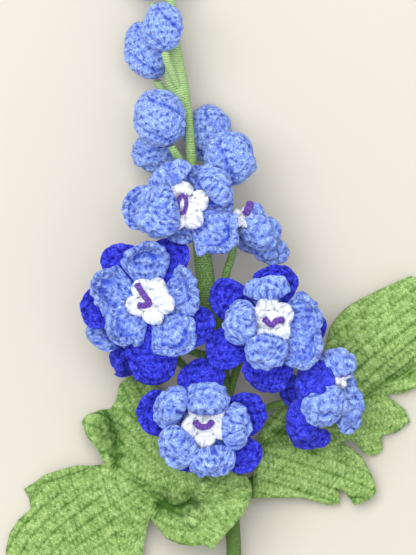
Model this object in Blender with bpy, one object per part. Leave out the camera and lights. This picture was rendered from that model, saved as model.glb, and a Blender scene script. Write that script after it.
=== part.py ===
"""Crocheted delphinium spike, lying on a surface: wound stem on a wire, stuffed buds, blooms and leaves.

Metres, +Z up. The spike lies along Y with its tip toward +Y, and its front faces up.
Run with: blender --background --python part.py
"""

import math

import bmesh
import bpy
import numpy as np
from mathutils import Matrix, Vector
from mathutils.bvhtree import BVHTree
from mathutils.geometry import delaunay_2d_cdt

# Driving dimensions, in millimetres
MM = 0.001
MIDDLE = (16.0, -1.2)  # middle of the spike's footprint, in the drawing of the spike
GAP = 0.3  # clearance between pieces that touch
SHEET = 3.0  # thickness of a crocheted sheet
LEAF_SHEET = 3.4
HUB_RADIUS = 8.0  # disc that a layer of petals grows from
WEDGE = 0.58  # a petal's half width near its root, as a share of the distance from the middle
WEDGE_CLEAR = 0.06  # of that share is left free between petals that grow close together
FLAT_BEYOND = 1.0  # inner petals lie flat to this far past the white centre, and lift beyond it
OUTER_FLATTER = 1.2  # outer petals lie flat to this many times that distance
CENTRE_WIDTH = 0.76  # of a white lobe, as a share of its reach
CENTRE_HUB = 5.0
CENTRE_FLAT = 0.6  # of its reach
BLUNT = 0.03  # a petal's tip is cut square by this share of its width
PINCH = 0.12  # a sheet that passes through itself loses this share of its thickness there
PINCH_TRIES = 14
STAMEN_RADIUS = 1.1
STAMEN_RISE = 0.14  # of a loop above the white centre, for each millimetre from the middle
PEDICEL_RADIUS = 2.3
WIRE_RADIUS = 1.2
WIRE_PROUD = 1.0  # how far the wire shows at the cut foot
WIRE_END_Y = 140.0
BORE_BEYOND = 5.0  # how far the wire's bore runs past the cut foot, so that it opens there
LEAF_GRID = 11.0  # spacing of the points inside a leaf's outline
FOLD_DEPTH = 0.06  # of a bud's folds, as a share of its radius
PEDICEL_SHARE = 0.1  # a bud's pedicel is this share of the bud's thickness in radius, and a little more
PEDICEL_LEAST = 0.3

# Heights of a bloom's layers above the back of its outer hub
OUTER_LEVEL = SHEET / 2
INNER_LEVEL = OUTER_LEVEL + SHEET + GAP
CENTRE_LEVEL = INNER_LEVEL + SHEET + GAP
STAMEN_LEVEL = CENTRE_LEVEL + SHEET / 2 + GAP + STAMEN_RADIUS

# Main stem: x, y, z of its axis and its radius, from the cut foot to the tip
MAIN_STEM = (
    (13.0, -235.0, 4.2, 4.2),
    (14.3, -190.0, 8.2, 4.2),
    (14.3, -152.0, 13.0, 4.2),
    (13.2, -133.0, 16.0, 4.3),
    (11.0, -95.0, 21.5, 4.5),
    (7.7, -56.0, 26.5, 4.6),
    (3.5, -27.0, 29.5, 4.9),
    (0.0, -12.0, 30.6, 5.1),
    (-3.0, 12.0, 31.5, 5.0),
    (-6.5, 38.0, 32.0, 4.5),
    (-9.4, 70.0, 31.0, 4.1),
    (-12.0, 90.0, 29.5, 4.4),
    (-15.4, 109.0, 27.5, 4.2),
    (-18.3, 123.0, 25.5, 3.6),
    (-20.6, 152.0, 20.2, 2.8),
    (-21.0, 180.0, 14.2, 2.4),
    (-20.6, 200.0, 9.6, 2.1),
    (-20.5, 213.0, 6.6, 1.9),
)

# Petals: angle in degrees, reach, width, lift of the tip, bow, cup of the sides, curl of the tip
# A bloom has its hub's back at "at" and looks along "facing".
# "stem" lists the points that its pedicel passes, from inside the main stem.
# "centre" is the reach of the white centre and the angle of one of its lobes.
BLOOMS = {
    "top": {
        "at": (-11.6, 38.8, 46.0),
        "facing": (-0.10, 0.04, 1.0),
        "yarn": "light",
        "stem": ((-4.5, 18.0, 31.5), (-8.0, 27.0, 34.0)),
        "outer": (
            (182, 34, 23, 4, 2, 2, 0),
            (118, 24, 18, 2, 1, 1, 0),
            (62, 23, 17, 2, 1, 0, 0),
            (0, 25, 20, 0, 0, 0, 0),
            (310, 22, 16, 0, 0, 0, 0),
            (255, 20, 16, 2, 1, 0, 0),
        ),
        "inner": (
            (121, 34, 23, 9, 5, 2, 5),
            (193, 40, 27, 13, 7, -1, 29),
            (40, 29, 24, 9, 6, -2, 2),
            (314, 36, 25, 9, 5, -3, 0),
            (252, 21, 14, 4, 2, 0, 0),
        ),
        "centre": (12.5, 20),
        "stamens": ((-2.5, -3.5), (0.5, 1.0), (-2.0, 5.5)),
    },
    "top_side": {
        "at": (18.0, 30.0, 36.0),
        "facing": (0.86, 0.20, 0.46),
        "yarn": "light",
        "stem": ((6.6, -38.0, 28.5), (9.0, -12.0, 31.0), (10.0, 2.0, 33.0), (13.5, 14.0, 33.5)),
        "outer": (
            (0, 20, 18, 3, 1, 1, 0),
            (75, 20, 18, 3, 1, 1, 0),
            (145, 15, 14, 0, 0, 0, 0),
            (215, 17, 17, 3, 1, 1, 0),
            (285, 21, 20, 4, 1, 1, 0),
        ),
        "inner": (
            (18, 19, 18, 10, 2, 0, 0),
            (80, 19, 17, 10, 2, 0, 0),
            (145, 16, 15, 8, 1, 0, 0),
            (215, 20, 21, 17, 3, -1, 0),
            (290, 24, 21, 15, 3, -2, 0),
        ),
        "centre": (10.5, 0),
        "stamens": ((0.0, -3.0), (1.5, 0.0), (1.0, 4.5)),
    },
    "left": {
        "at": (-30.8, -13.5, 46.0),
        "facing": (-0.08, 0.06, 1.0),
        "yarn": "dark",
        "stem": ((5.5, -40.0, 28.0), (-2.0, -42.5, 31.0), (-14.0, -38.0, 35.0), (-25.0, -26.0, 40.0)),
        "outer": (
            (128, 37, 20, 4, 2, 1, 0),
            (68, 37, 20, -2, 1, 0, 0),
            (187, 38, 23, 2, 2, 1, 0),
            (270, 45, 25, -5, 2, 2, 0),
            (329, 38, 22, 5, 1, 1, 0),
        ),
        "inner": (
            (94, 35, 24, 10, 3, 2, 3),
            (19, 31, 26, 10, 5, -3, 4),
            (307, 35, 23, 10, 5, -3, 3),
            (233, 29, 22, 7, 4, -2, 1),
            (165, 33, 25, 10, 6, -2, 4),
        ),
        "centre": (13, 60),
        "stamens": ((-7.0, 9.0), (-0.7, -1.0), (-6.5, -3.2)),
    },
    "left_back": {
        "at": (-37.0, -33.0, 25.0),
        "facing": (-0.88, 0.0, -0.47),
        "yarn": "dark",
        "stem": ((8.5, -64.0, 24.5), (-4.0, -58.0, 24.0), (-20.0, -42.0, 26.0)),
        "outer": (
            (300, 23, 19, 4, 1, 1, 0),
            (15, 20, 19, 3, 1, 1, 0),
            (88, 21, 19, 3, 1, 1, 0),
            (155, 18, 17, 3, 1, 1, 0),
            (228, 20, 18, 3, 1, 1, 0),
        ),
        "inner": (
            (12, 22, 19, 11, 2, -1, 0),
            (85, 20, 18, 11, 2, -1, 0),
            (158, 16, 16, 11, 2, -1, 0),
            (228, 18, 17, 10, 2, -1, 0),
            (300, 20, 18, 11, 2, -1, 0),
        ),
        "centre": (10.5, 0),
        "stamens": ((-3.0, -3.0), (0.0, 1.0), (4.0, -2.0)),
    },
    "right": {
        "at": (33.0, -24.5, 46.0),
        "facing": (0.05, 0.05, 1.0),
        "yarn": "dark",
        "stem": ((10.5, -72.0, 24.5), (13.0, -60.0, 27.0), (18.0, -45.0, 32.0), (27.0, -33.0, 39.0)),
        "outer": (
            (79, 31, 23, 4, 1, 2, 0),
            (150, 36, 19, 3, 2, 1, 0),
            (213, 39, 20, 2, 2, 1, 0),
            (270, 38, 25, 2, -1, 4, 0),
            (350, 31, 17, 2, 1, 1, 0),
        ),
        "inner": (
            (98, 32, 25, 12, 5, 2, 14),
            (16, 30, 23, 9, 4, 2, 3),
            (320, 35, 20, 13, 4, -2, 1),
            (260, 41, 25, 12, 7, -1, 30),
            (183, 37, 26, 12, 7, -1, 27),
        ),
        "centre": (13, 30),
        "stamens": ((-3.5, 2.0), (1.0, -2.0), (3.5, 0.0), (8.5, 0.8)),
    },
    "middle": {
        "at": (-1.1, -79.5, 43.0),
        "facing": (0.0, -0.08, 1.0),
        "yarn": "dark",
        "stem": ((9.5, -84.0, 23.0), (6.5, -84.0, 29.0), (1.5, -82.0, 35.0)),
        "outer": (
            (97, 35, 24, -2, 2, 1, 0),
            (169, 38, 23, 4, 1, 1, 0),
            (13, 33, 22, 4, 1, 1, 0),
            (318, 36, 19, 2, 2, 1, 0),
            (240, 29, 19, 1, 1, 0, 0),
        ),
        "inner": (
            (87, 35, 26, 13, 7, -1, 25),
            (153, 33, 23, 11, 3, 2, 4),
            (220, 32, 23, 9, 5, -3, 2),
            (284, 30, 22, 9, 5, -3, 2),
            (355, 33, 26, 12, 7, -1, 25),
        ),
        "centre": (12.5, 50),
        "stamens": ((-6.5, 2.5), (-3.5, -1.0), (1.0, -1.0), (4.0, 2.5)),
    },
    "right_side": {
        "at": (56.0, -65.0, 35.0),
        "facing": (0.94, 0.12, 0.32),
        "yarn": "dark",
        "stem": ((11.8, -100.0, 21.0), (17.0, -86.0, 26.0), (31.0, -73.0, 29.0), (45.0, -68.0, 31.0)),
        "outer": (
            (152, 22, 22, 7, 1, 0, 0),
            (224, 28, 20, 7, 2, -1, 0),
            (283, 30, 20, 8, 0, 1, 0),
            (20, 21, 19, 4, 1, 1, 0),
            (88, 22, 19, 4, 1, 1, 0),
        ),
        "inner": (
            (88, 22, 21, 19, 2, -1, 0),
            (200, 20, 22, 19, 2, -1, 0),
            (285, 24, 22, 20, 2, -1, 0),
            (340, 20, 19, 18, 1, 0, 0),
            (35, 18, 17, 15, 1, 0, 0),
        ),
        "centre": (10.5, 0),
        "stamens": ((-3.0, 0.0), (0.0, 2.0), (2.0, 6.0)),
    },
}

# Buds: middle, axis from the base to the tip, thickness, length, and where the pedicel leaves the stem
BUDS = {
    "bud_1": ((-29.2, 68.5, 17.5), (-0.85, 0.35, -0.1), 21.0, 27.0, (-8.5, 57.0, 29.5)),
    "bud_2": ((11.6, 65.2, 38.5), (0.35, 0.93, 0.1), 27.0, 32.0, (-7.0, 42.0, 32.0)),
    "bud_3": ((0.3, 79.5, 13.5), (0.05, 1.0, 0.0), 23.0, 33.0, (-8.0, 55.0, 30.0)),
    "bud_4": ((-26.6, 87.7, 41.0), (-0.4, 0.9, 0.05), 27.0, 33.0, (-9.5, 66.0, 31.0)),
    "bud_5": ((-33.8, 125.1, 19.5), (-0.35, 0.94, 0.0), 22.0, 34.0, (-13.5, 101.0, 28.0)),
    "bud_6": ((-24.6, 137.8, 41.0), (-0.1, 1.0, 0.05), 20.7, 27.8, (-17.2, 116.0, 26.5)),
    "bud_7": ((-34.0, 165.0, 18.5), (-0.25, 0.97, 0.0), 18.0, 26.0, (-20.3, 140.0, 22.5)),
    "bud_8": ((-9.5, 178.0, 15.0), (0.3, 0.95, 0.0), 16.5, 23.0, (-20.8, 154.0, 20.0)),
    "bud_9": ((-31.0, 194.0, 10.5), (-0.25, 0.97, 0.0), 15.0, 20.0, (-21.0, 172.0, 16.0)),
    "bud_10": ((-11.0, 203.5, 9.0), (0.3, 0.95, 0.0), 13.0, 18.0, (-20.9, 184.0, 13.2)),
    "bud_tip": ((-20.6, 223.6, 6.05), (0.0, 1.0, 0.0), 12.0, 20.0, None),
}

# Leaves: outline of the lobed edge, and heights of its middle surface at a few places, in millimetres
LEAF_LEFT_OUTLINE = (
    (15, -106), (4, -96), (-13, -84), (-24, -65), (-32, -55), (-40, -54), (-45, -55), (-49, -59),
    (-51, -68), (-54, -73), (-59, -73), (-67, -76), (-70, -80), (-67, -88), (-61, -95), (-57, -103),
    (-64, -104), (-73, -104), (-81, -106), (-90, -109), (-97, -114), (-102, -117), (-99, -122),
    (-98, -128), (-105, -134), (-110, -142), (-112, -151), (-110, -164), (-101, -176), (-87, -184),
    (-72, -188), (-57, -184), (-45, -175), (-38, -164), (-36, -153), (-34, -139), (-32, -133),
    (-28, -138), (-23, -144), (-16, -147), (-8, -148), (-2, -147), (2, -150), (4, -148), (9, -142),
    (19, -131), (22, -125), (24, -120), (24, -114), (21, -109),
)  # fmt: skip
LEAF_LEFT_HEIGHTS = (
    (15, -111, 31), (-4, -100, 29), (-20, -106, 26), (-18, -125, 23), (10, -125, 36), (22, -118, 33),
    (-4, -134, 28), (-3, -147, 31), (-16, -144, 27), (-34, -134, 12), (-44, -112, 17), (-62, -154, 9),
    (-38, -158, 9), (-72, -186, 2), (-104, -170, 2), (-110, -146, 2), (-101, -117, 2), (-96, -128, 3),
    (-72, -105, 9), (-80, -114, 7), (-57, -102, 11), (-68, -79, 6), (-63, -86, 15), (-51, -86, 7),
    (-44, -74, 13), (-46, -58, 9), (-34, -56, 8), (-28, -76, 15),
)  # fmt: skip
LEAF_RIGHT_OUTLINE = (
    (27, -96), (25, -109), (24, -122), (40, -122), (51, -122), (59, -124), (67, -126), (73, -125),
    (73, -120), (71, -117), (76, -119), (79, -123), (81, -126), (91, -122), (93, -118), (92, -112),
    (89, -106), (85, -99), (79, -94), (73, -91), (79, -90), (83, -93), (86, -97), (90, -99),
    (94, -98), (97, -95), (96, -88), (104, -86), (112, -80), (109, -73), (104, -69), (98, -65),
    (109, -64), (115, -61), (123, -55), (132, -46), (140, -35), (144, -24), (140, -16), (131, -8),
    (122, -3), (112, 1), (105, -2), (94, -7), (82, -13), (76, -17), (71, -22), (67, -28), (65, -38),
    (61, -49), (51, -59), (42, -68), (34, -77), (28, -87),
)  # fmt: skip
LEAF_RIGHT_HEIGHTS = (
    (27, -97, 19), (30, -118, 13), (55, -121, 8), (71, -122, 5), (90, -118, 8), (84, -124, 11),
    (50, -100, 14), (72, -104, 9), (88, -104, 6), (56, -75, 12), (75, -90, 7), (93, -96, 3),
    (110, -78, 3), (98, -66, 5), (90, -76, 9), (70, -50, 11), (72, -30, 10), (84, -16, 8),
    (112, 0, 6), (96, -34, 17), (120, -34, 11), (142, -24, 2), (134, -44, 3), (116, -58, 5),
    (36, -80, 16),
)  # fmt: skip
LEAF_LEFT_STALK = ((13.6, -140.0, 15.0), (13.0, -128.0, 19.0), (11.0, -116.0, 25.0))
STALK_DROPS = (1.9, 3.2)  # from each leaf's lower face to its stalk's axis, at the end
LEAF_RIGHT_STALK = ((13.0, -122.0, 17.0), (19.0, -117.0, 12.5), (26.0, -111.0, 9.5), (37.0, -105.0, 8.0))

COLOURS = {
    "light": (0.13, 0.23, 0.76),
    "dark": (0.03, 0.04, 0.52),
    "white": (0.86, 0.88, 0.87),
    "purple": (0.13, 0.05, 0.30),
    "leaf": (0.23, 0.42, 0.10),
    "thread": (0.15, 0.29, 0.06),
    "wire": (0.55, 0.55, 0.53),
}


def clear_scene():
    for other in list(bpy.data.objects):
        bpy.data.objects.remove(other, do_unlink=True)


def make_material(name):
    metal = name == "wire"
    colour = bpy.data.materials.new(name)
    colour.use_nodes = True
    shader = colour.node_tree.nodes["Principled BSDF"]
    shader.inputs["Base Color"].default_value = (*COLOURS[name], 1)
    shader.inputs["Roughness"].default_value = 0.35 if metal else 0.9
    shader.inputs["Metallic"].default_value = 1.0 if metal else 0.0
    return colour


def add_object(name, bm, collection):
    """An object from the closed mesh bm, with its faces turned outward. The bm is then freed."""
    bmesh.ops.recalc_face_normals(bm, faces=bm.faces)
    if bm.calc_volume(signed=True) < 0:
        bmesh.ops.reverse_faces(bm, faces=bm.faces)
    mesh = bpy.data.meshes.new(name)
    bm.to_mesh(mesh)
    bm.free()
    made = bpy.data.objects.new(name, mesh)
    collection.objects.link(made)
    return made


def boolean(body, collection, operation):
    cut = body.modifiers.new("join", "BOOLEAN")
    cut.operation = operation
    cut.solver = "MANIFOLD"
    cut.operand_type = "COLLECTION"
    cut.collection = collection


def apply_modifiers(body):
    """The object's evaluated mesh takes the place of its own, with loose scraps and slivers cleaned."""
    seen = body.evaluated_get(bpy.context.evaluated_depsgraph_get())
    bm = bmesh.new()
    bm.from_mesh(seen.to_mesh())
    bmesh.ops.remove_doubles(bm, verts=bm.verts, dist=0.02)
    bmesh.ops.dissolve_degenerate(bm, edges=bm.edges, dist=0.01)
    bmesh.ops.triangulate(bm, faces=bm.faces)
    body.modifiers.clear()
    bm.to_mesh(body.data)
    bm.free()


def fuse(bodies, name, cutters=()):
    """One object from overlapping closed meshes, less the cutters."""
    scene = bpy.context.scene.collection
    first = add_object(name, bodies[0], scene)
    for operation, meshes in (("UNION", bodies[1:]), ("DIFFERENCE", cutters)):
        if not meshes:
            continue
        others = bpy.data.collections.new("others")
        scene.children.link(others)
        for bm in meshes:
            add_object("other", bm, others)
        boolean(first, others, operation)
        apply_modifiers(first)
        for other in list(others.objects):
            bpy.data.objects.remove(other, do_unlink=True)
        bpy.data.collections.remove(others)
    return first


def finish(made, colour, root):
    """Scales a mesh drawn in millimetres to metres, colours it and hangs it on the root."""
    made.data.transform(Matrix.Scale(MM, 4))
    made.data.materials.append(colour)
    made.data.shade_smooth()
    made.data.set_sharp_from_angle(angle=math.radians(60))
    made.parent = root


def smooth_path(points, step):
    """Points every step or so along a smooth curve through the given ones, whose values may be 3 or 4."""
    given = [np.array(p, float) for p in points]
    ends = [2 * given[0] - given[1], *given, 2 * given[-1] - given[-2]]
    path = []
    for a, b, c, d in zip(ends, ends[1:], ends[2:], ends[3:]):
        parts = max(1, round(np.linalg.norm((c - b)[:3]) / step))
        for t in np.arange(parts) / parts:
            bend = (2 * a - 5 * b + 4 * c - d) * t**2 + (3 * b - a - 3 * c + d) * t**3
            path.append(b + ((c - a) * t + bend) / 2)
    return [*path, given[-1]]


def tube(path, radii, sides):
    """A closed round tube along the path."""
    bm = bmesh.new()
    path = [Vector(p[:3]) for p in path]
    ahead = (path[1] - path[0]).normalized()
    up = (Vector((0, 0, 1)) - ahead * ahead.z).normalized()
    rings = []
    for i, middle in enumerate(path):
        along = (path[min(i + 1, len(path) - 1)] - path[max(i - 1, 0)]).normalized()
        up = (up - along * up.dot(along)).normalized()
        side = along.cross(up)
        ring = []
        for k in range(sides):
            turn = 2 * math.pi * k / sides
            ring.append(bm.verts.new(middle + (side * math.sin(turn) - up * math.cos(turn)) * radii[i]))
        rings.append(ring)
    for a, b in zip(rings, rings[1:]):
        for k in range(sides):
            n = (k + 1) % sides
            bm.faces.new((a[k], a[n], b[n], b[k]))
    bm.faces.new(rings[0])
    bm.faces.new(reversed(rings[-1]))
    return bm


def bloom_frame(bloom):
    """Turns a bloom's own frame, whose Z is where it faces, into the drawing's."""
    facing = Vector(bloom["facing"]).normalized()
    up = (Vector((0, 1, 0)) - facing * facing.y).normalized()
    turn = Matrix((up.cross(facing), up, facing)).transposed().to_4x4()
    return Matrix.Translation(bloom["at"]) @ turn


def half_width(along, reach, width, wedge):
    """Half of a petal's width at a distance from its bloom's middle: a wedge that ends in half a circle."""
    tip = reach - width / 2
    if along < tip:
        return min(width / 2, wedge * along)
    return min(math.sqrt((width / 2) ** 2 - (along - tip) ** 2), wedge * along)


def side_wedges(petal, before, after):
    """How fast a petal's two sides widen: they keep clear of the petals before and after it."""
    gaps = ((petal[0] - before[0]) % 360, (after[0] - petal[0]) % 360)
    return [min(WEDGE, math.tan(math.radians(gap / 2)) - WEDGE_CLEAR) for gap in gaps]


def petal_point(spec, wedges, level, flat, along, s):
    """A point of a petal's middle sheet, in its bloom's frame."""
    angle, reach, width, lift, bow, cup, curl = spec
    turn = math.radians(angle)
    out = Vector((math.cos(turn), math.sin(turn), 0))
    across = Vector((-math.sin(turn), math.cos(turn), 0))
    rise = max(0.0, (along - flat) / (reach - flat))
    half = half_width(along, reach, width, wedges[s > 0])
    height = level + lift * rise * rise * (3 - 2 * rise) + bow * math.sin(math.pi * rise) + cup * s * s * rise
    return out * (along - curl * rise**4) + across * (s * half) + Vector((0, 0, height))


def rosette(frame, level, flat, hub, petals, columns, rows):
    """A layer of petals that grow from one round hub, as a sheet of crochet."""
    bm = bmesh.new()
    middle = []
    petals = sorted(petals)
    for spec, *neighbours in zip(petals, petals[-1:] + petals[:-1], petals[1:] + petals[:1]):
        wedges = side_wedges(spec, *neighbours)
        before = []
        for j in range(rows + 1):
            tip = spec[1] - BLUNT * spec[2]
            along = flat + (tip - flat) * math.sin(math.pi / 2 * (j - 1) / (rows - 1)) if j else hub
            shares = [2 * i / columns - 1 for i in range(columns + 1)]
            places = [petal_point(spec, wedges, level, flat, along, share) for share in shares]
            row = [bm.verts.new(frame @ p) for p in places]
            for a, b, c, d in zip(before, before[1:], row[1:], row):
                bm.faces.new((a, d, c, b))
            before = row
            middle += row if j == 0 else []
    bm.faces.new(middle)
    bmesh.ops.triangulate(bm, faces=bm.faces)
    thicken(bm, SHEET)
    return bm


def thicken(bm, thickness, along=None):
    """Makes a sheet of triangles a closed slab, alike on both faces, with the sheet as its middle."""
    bm.normal_update()
    sheet = bm.faces[:]
    rim = [edge.link_loops[0] for edge in bm.edges if edge.is_boundary]
    sides = [(loop.vert, loop.link_loop_next.vert) for loop in rim]
    under = {}
    steps = {}
    for v in bm.verts[:]:
        step = (along or v.normal) * thickness / 2
        under[v] = bm.verts.new(v.co - step)
        v.co += step
        steps[v] = step
        steps[under[v]] = -step
    for face in sheet:
        bm.faces.new([under[v] for v in reversed(face.verts)])
    for a, b in sides:
        bm.faces.new((b, a, under[a], under[b]))
    bmesh.ops.triangulate(bm, faces=bm.faces[:])
    pinch(bm, steps)


def pinch(bm, steps):
    """Makes a slab thinner where it would pass through itself: in tight folds, and where petals meet."""
    for _ in range(PINCH_TRIES):
        bm.faces.ensure_lookup_table()
        tree = BVHTree.FromBMesh(bm)
        caught = set()
        for a, b in tree.overlap(tree):
            one, other = bm.faces[a].verts, bm.faces[b].verts
            if not set(one) & set(other):
                caught.update(one, other)
        for v in caught:
            v.co -= steps[v] * PINCH
            steps[v] = steps[v] * (1 - PINCH)


def make_bloom(name, bloom, colours, root):
    frame = bloom_frame(bloom)
    scene = bpy.context.scene.collection
    reach, first = bloom["centre"]
    flat = reach + FLAT_BEYOND
    lobes = [(first + 72 * k, reach, CENTRE_WIDTH * reach, 1, 0.6, 0, 0) for k in range(5)]
    layers = (
        ("outer_petals", bloom["yarn"], OUTER_LEVEL, OUTER_FLATTER * flat, HUB_RADIUS, bloom["outer"], 4, 4),
        ("inner_petals", "light", INNER_LEVEL, flat, HUB_RADIUS, bloom["inner"], 4, 5),
        ("centre", "white", CENTRE_LEVEL, CENTRE_FLAT * reach, CENTRE_HUB, lobes, 2, 3),
    )
    for part, colour, *shape in layers:
        made = add_object(f"bloom_{name}_{part}", rosette(frame, *shape), scene)
        finish(made, colours[colour], root)
    points = [(x, y, STAMEN_LEVEL + STAMEN_RISE * math.hypot(x, y)) for x, y in bloom["stamens"]]
    path = [frame @ Vector(p) for p in smooth_path(points, 2.5)]
    stamens = add_object(f"bloom_{name}_stamens", tube(path, [STAMEN_RADIUS] * len(path), 6), scene)
    finish(stamens, colours["purple"], root)


def make_bud(name, colours, root):
    """A stuffed ball of crochet, with shallow folds that run from its base to its tip."""
    middle, axis, thick, long, _ = BUDS[name]
    bm = bmesh.new()
    bmesh.ops.create_uvsphere(bm, u_segments=12, v_segments=9, radius=1)
    for v in bm.verts:
        turn = math.atan2(v.co.y, v.co.x)
        fold = 1 - FOLD_DEPTH * (1 - v.co.z**2) * (0.5 + 0.5 * math.cos(3 * turn + 2.5 * v.co.z))
        v.co = Vector((v.co.x * thick / 2 * fold, v.co.y * thick / 2 * fold, v.co.z * long / 2))
    turn = Vector(axis).to_track_quat("Z", "X").to_matrix().to_4x4()
    bm.transform(Matrix.Translation(middle) @ turn)
    finish(add_object(name, bm, bpy.context.scene.collection), colours["light"], root)


class Leaf:
    """A lobed crocheted sheet whose middle surface passes smoothly through a few given heights."""

    def __init__(self, outline, heights):
        self.outline = outline
        self.places = np.array([h[:2] for h in heights], float)
        known = np.array([h[2] for h in heights], float)
        count = len(known)
        system = np.zeros((count + 3, count + 3))
        system[:count, :count] = self.spline(self.places, self.places)
        system[:count, count:] = np.column_stack((np.ones(count), self.places))
        system[count:, :count] = system[:count, count:].T
        self.weights = np.linalg.solve(system, np.append(known, np.zeros(3)))

    @staticmethod
    def spline(a, b):
        """Thin-plate spline between two sets of places."""
        far = np.linalg.norm(a[:, None] - b[None], axis=2) + 1e-9
        return far**2 * np.log(far)

    def height(self, x, y):
        at = np.array([(x, y)], float)
        value = self.spline(at, self.places)[0] @ self.weights[:-3] + self.weights[-3:] @ (1, x, y)
        return max(value, LEAF_SHEET / 2)

    def inside(self, x, y):
        """Whether a place is inside the outline, and well clear of it."""
        crossings = 0
        for (ax, ay), (bx, by) in zip(self.outline, self.outline[1:] + self.outline[:1]):
            span = Vector((bx - ax, by - ay))
            near = max(0.0, min(1.0, Vector((x - ax, y - ay)).dot(span) / span.length_squared))
            if math.hypot(x - ax - near * span.x, y - ay - near * span.y) < 0.4 * LEAF_GRID:
                return False
            if (ay > y) != (by > y) and x < ax + (y - ay) / (by - ay) * (bx - ax):
                crossings += 1
        return crossings % 2 == 1

    def mesh(self):
        outline = [Vector(p) for p in self.outline]
        edges = [(i, (i + 1) % len(outline)) for i in range(len(outline))]
        inner = []
        low_x, low_y = np.min(self.outline, axis=0)
        high_x, high_y = np.max(self.outline, axis=0)
        for row, y in enumerate(np.arange(low_y, high_y, 0.87 * LEAF_GRID)):
            for x in np.arange(low_x + LEAF_GRID / 2 * (row % 2), high_x, LEAF_GRID):
                if self.inside(x, y):
                    inner.append(Vector((x, y)))
        places, _, faces, *_ = delaunay_2d_cdt(outline + inner, edges, [], 1, 1e-4)
        bm = bmesh.new()
        made = [bm.verts.new((p.x, p.y, self.height(p.x, p.y))) for p in places]
        for face in faces:
            bm.faces.new([made[i] for i in face])
        thicken(bm, LEAF_SHEET, Vector((0, 0, 1)))
        return bm


def stalk_end(leaf, x, y, drop):
    """Where a stalk ends under the leaf, its axis a drop below the leaf's lower face."""
    return (x, y, leaf.height(x, y) - LEAF_SHEET / 2 - drop)


def make_stem(leaves, colours, root):
    """The wound main stem with every pedicel and leaf stalk bound into it, bored for its wire."""
    main = smooth_path(MAIN_STEM, 13)
    bodies = [tube(main, [p[3] for p in main], 10)]
    for bloom in BLOOMS.values():
        frame = bloom_frame(bloom)
        end = [frame @ Vector((0, 0, -back)) for back in (6, GAP)]
        path = smooth_path([*bloom["stem"], *[tuple(p) for p in end]], 8)
        bodies.append(tube(path, [PEDICEL_RADIUS] * len(path), 7))
    for middle, axis, thick, long, start in BUDS.values():
        if start:
            back = Vector(axis).normalized()
            end = [Vector(middle) - back * (long / 2 + more) for more in (4, GAP)]
            path = smooth_path([start, *[tuple(p) for p in end]], 9)
            radius = min(PEDICEL_RADIUS, PEDICEL_SHARE * thick + PEDICEL_LEAST)
            bodies.append(tube(path, [radius] * len(path), 6))
    for leaf, stalk, drop in zip(leaves, (LEAF_LEFT_STALK, LEAF_RIGHT_STALK), STALK_DROPS):
        end = stalk_end(leaf, *stalk[-1][:2], drop)
        path = smooth_path([*stalk[:-1], end], 8)
        bodies.append(tube(path, [PEDICEL_RADIUS] * len(path), 7))
    core = [p for p in main if p[1] < WIRE_END_Y]
    foot = Vector(core[0][:3])
    beyond = (foot - Vector(core[1][:3])).normalized()
    bore = [foot + beyond * BORE_BEYOND, *core]
    stem = fuse(bodies, "stem", [tube(bore, [WIRE_RADIUS + GAP] * len(bore), 6)])
    finish(stem, colours["thread"], root)
    wire = [foot + beyond * WIRE_PROUD, *core[:-1]]
    inner = tube(wire, [WIRE_RADIUS] * len(wire), 6)
    finish(add_object("stem_wire", inner, bpy.context.scene.collection), colours["wire"], root)


def main():
    clear_scene()
    colours = {name: make_material(name) for name in COLOURS}
    root = bpy.data.objects.new("spike", None)
    root.location = (-MIDDLE[0] * MM, -MIDDLE[1] * MM, 0)
    bpy.context.scene.collection.objects.link(root)
    leaves = (
        Leaf(LEAF_LEFT_OUTLINE, LEAF_LEFT_HEIGHTS),
        Leaf(LEAF_RIGHT_OUTLINE, LEAF_RIGHT_HEIGHTS),
    )
    for name, leaf in zip(("leaf_left", "leaf_right"), leaves):
        finish(add_object(name, leaf.mesh(), bpy.context.scene.collection), colours["leaf"], root)
    make_stem(leaves, colours, root)
    for name, bloom in BLOOMS.items():
        make_bloom(name, bloom, colours, root)
    for name in BUDS:
        make_bud(name, colours, root)


main()
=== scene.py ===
"""Looks of a crocheted delphinium spike that lies on a surface, seen from above.

Everything is drawn in millimetres on a drawing of the spike, whose X runs right and Y runs to the tip,
and goes to the frame's metres when a piece is finished.
"""

import functools
import math

import bmesh
import bpy
import numpy as np
from mathutils import Matrix, Vector
from mathutils.geometry import delaunay_2d_cdt


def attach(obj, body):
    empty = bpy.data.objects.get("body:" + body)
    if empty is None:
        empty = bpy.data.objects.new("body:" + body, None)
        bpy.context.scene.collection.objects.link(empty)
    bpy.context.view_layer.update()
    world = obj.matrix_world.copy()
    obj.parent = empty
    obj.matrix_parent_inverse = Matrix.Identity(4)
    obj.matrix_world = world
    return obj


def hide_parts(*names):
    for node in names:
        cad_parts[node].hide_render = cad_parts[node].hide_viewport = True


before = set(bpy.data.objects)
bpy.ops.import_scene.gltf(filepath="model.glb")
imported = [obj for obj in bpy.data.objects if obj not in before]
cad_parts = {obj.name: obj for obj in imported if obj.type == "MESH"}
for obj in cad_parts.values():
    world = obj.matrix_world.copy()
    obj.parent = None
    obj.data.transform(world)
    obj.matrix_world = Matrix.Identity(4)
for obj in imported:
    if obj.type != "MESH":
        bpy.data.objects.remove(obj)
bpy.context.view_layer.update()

bl_info = {
    "name": "Crocheted delphinium spike",
    "version": (1, 0, 0),
    "blender": (4, 5, 0),
    "location": "3D View > Sidebar > Spike",
    "description": "Crocheted blooms, buds and leaves on a wound stem, around their packed solids",
    "category": "Object",
}

MM = 0.001
MIDDLE = np.array((16.0, -1.2, 0.0))  # middle of the spike's footprint, in its drawing
SEED = 7

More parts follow.
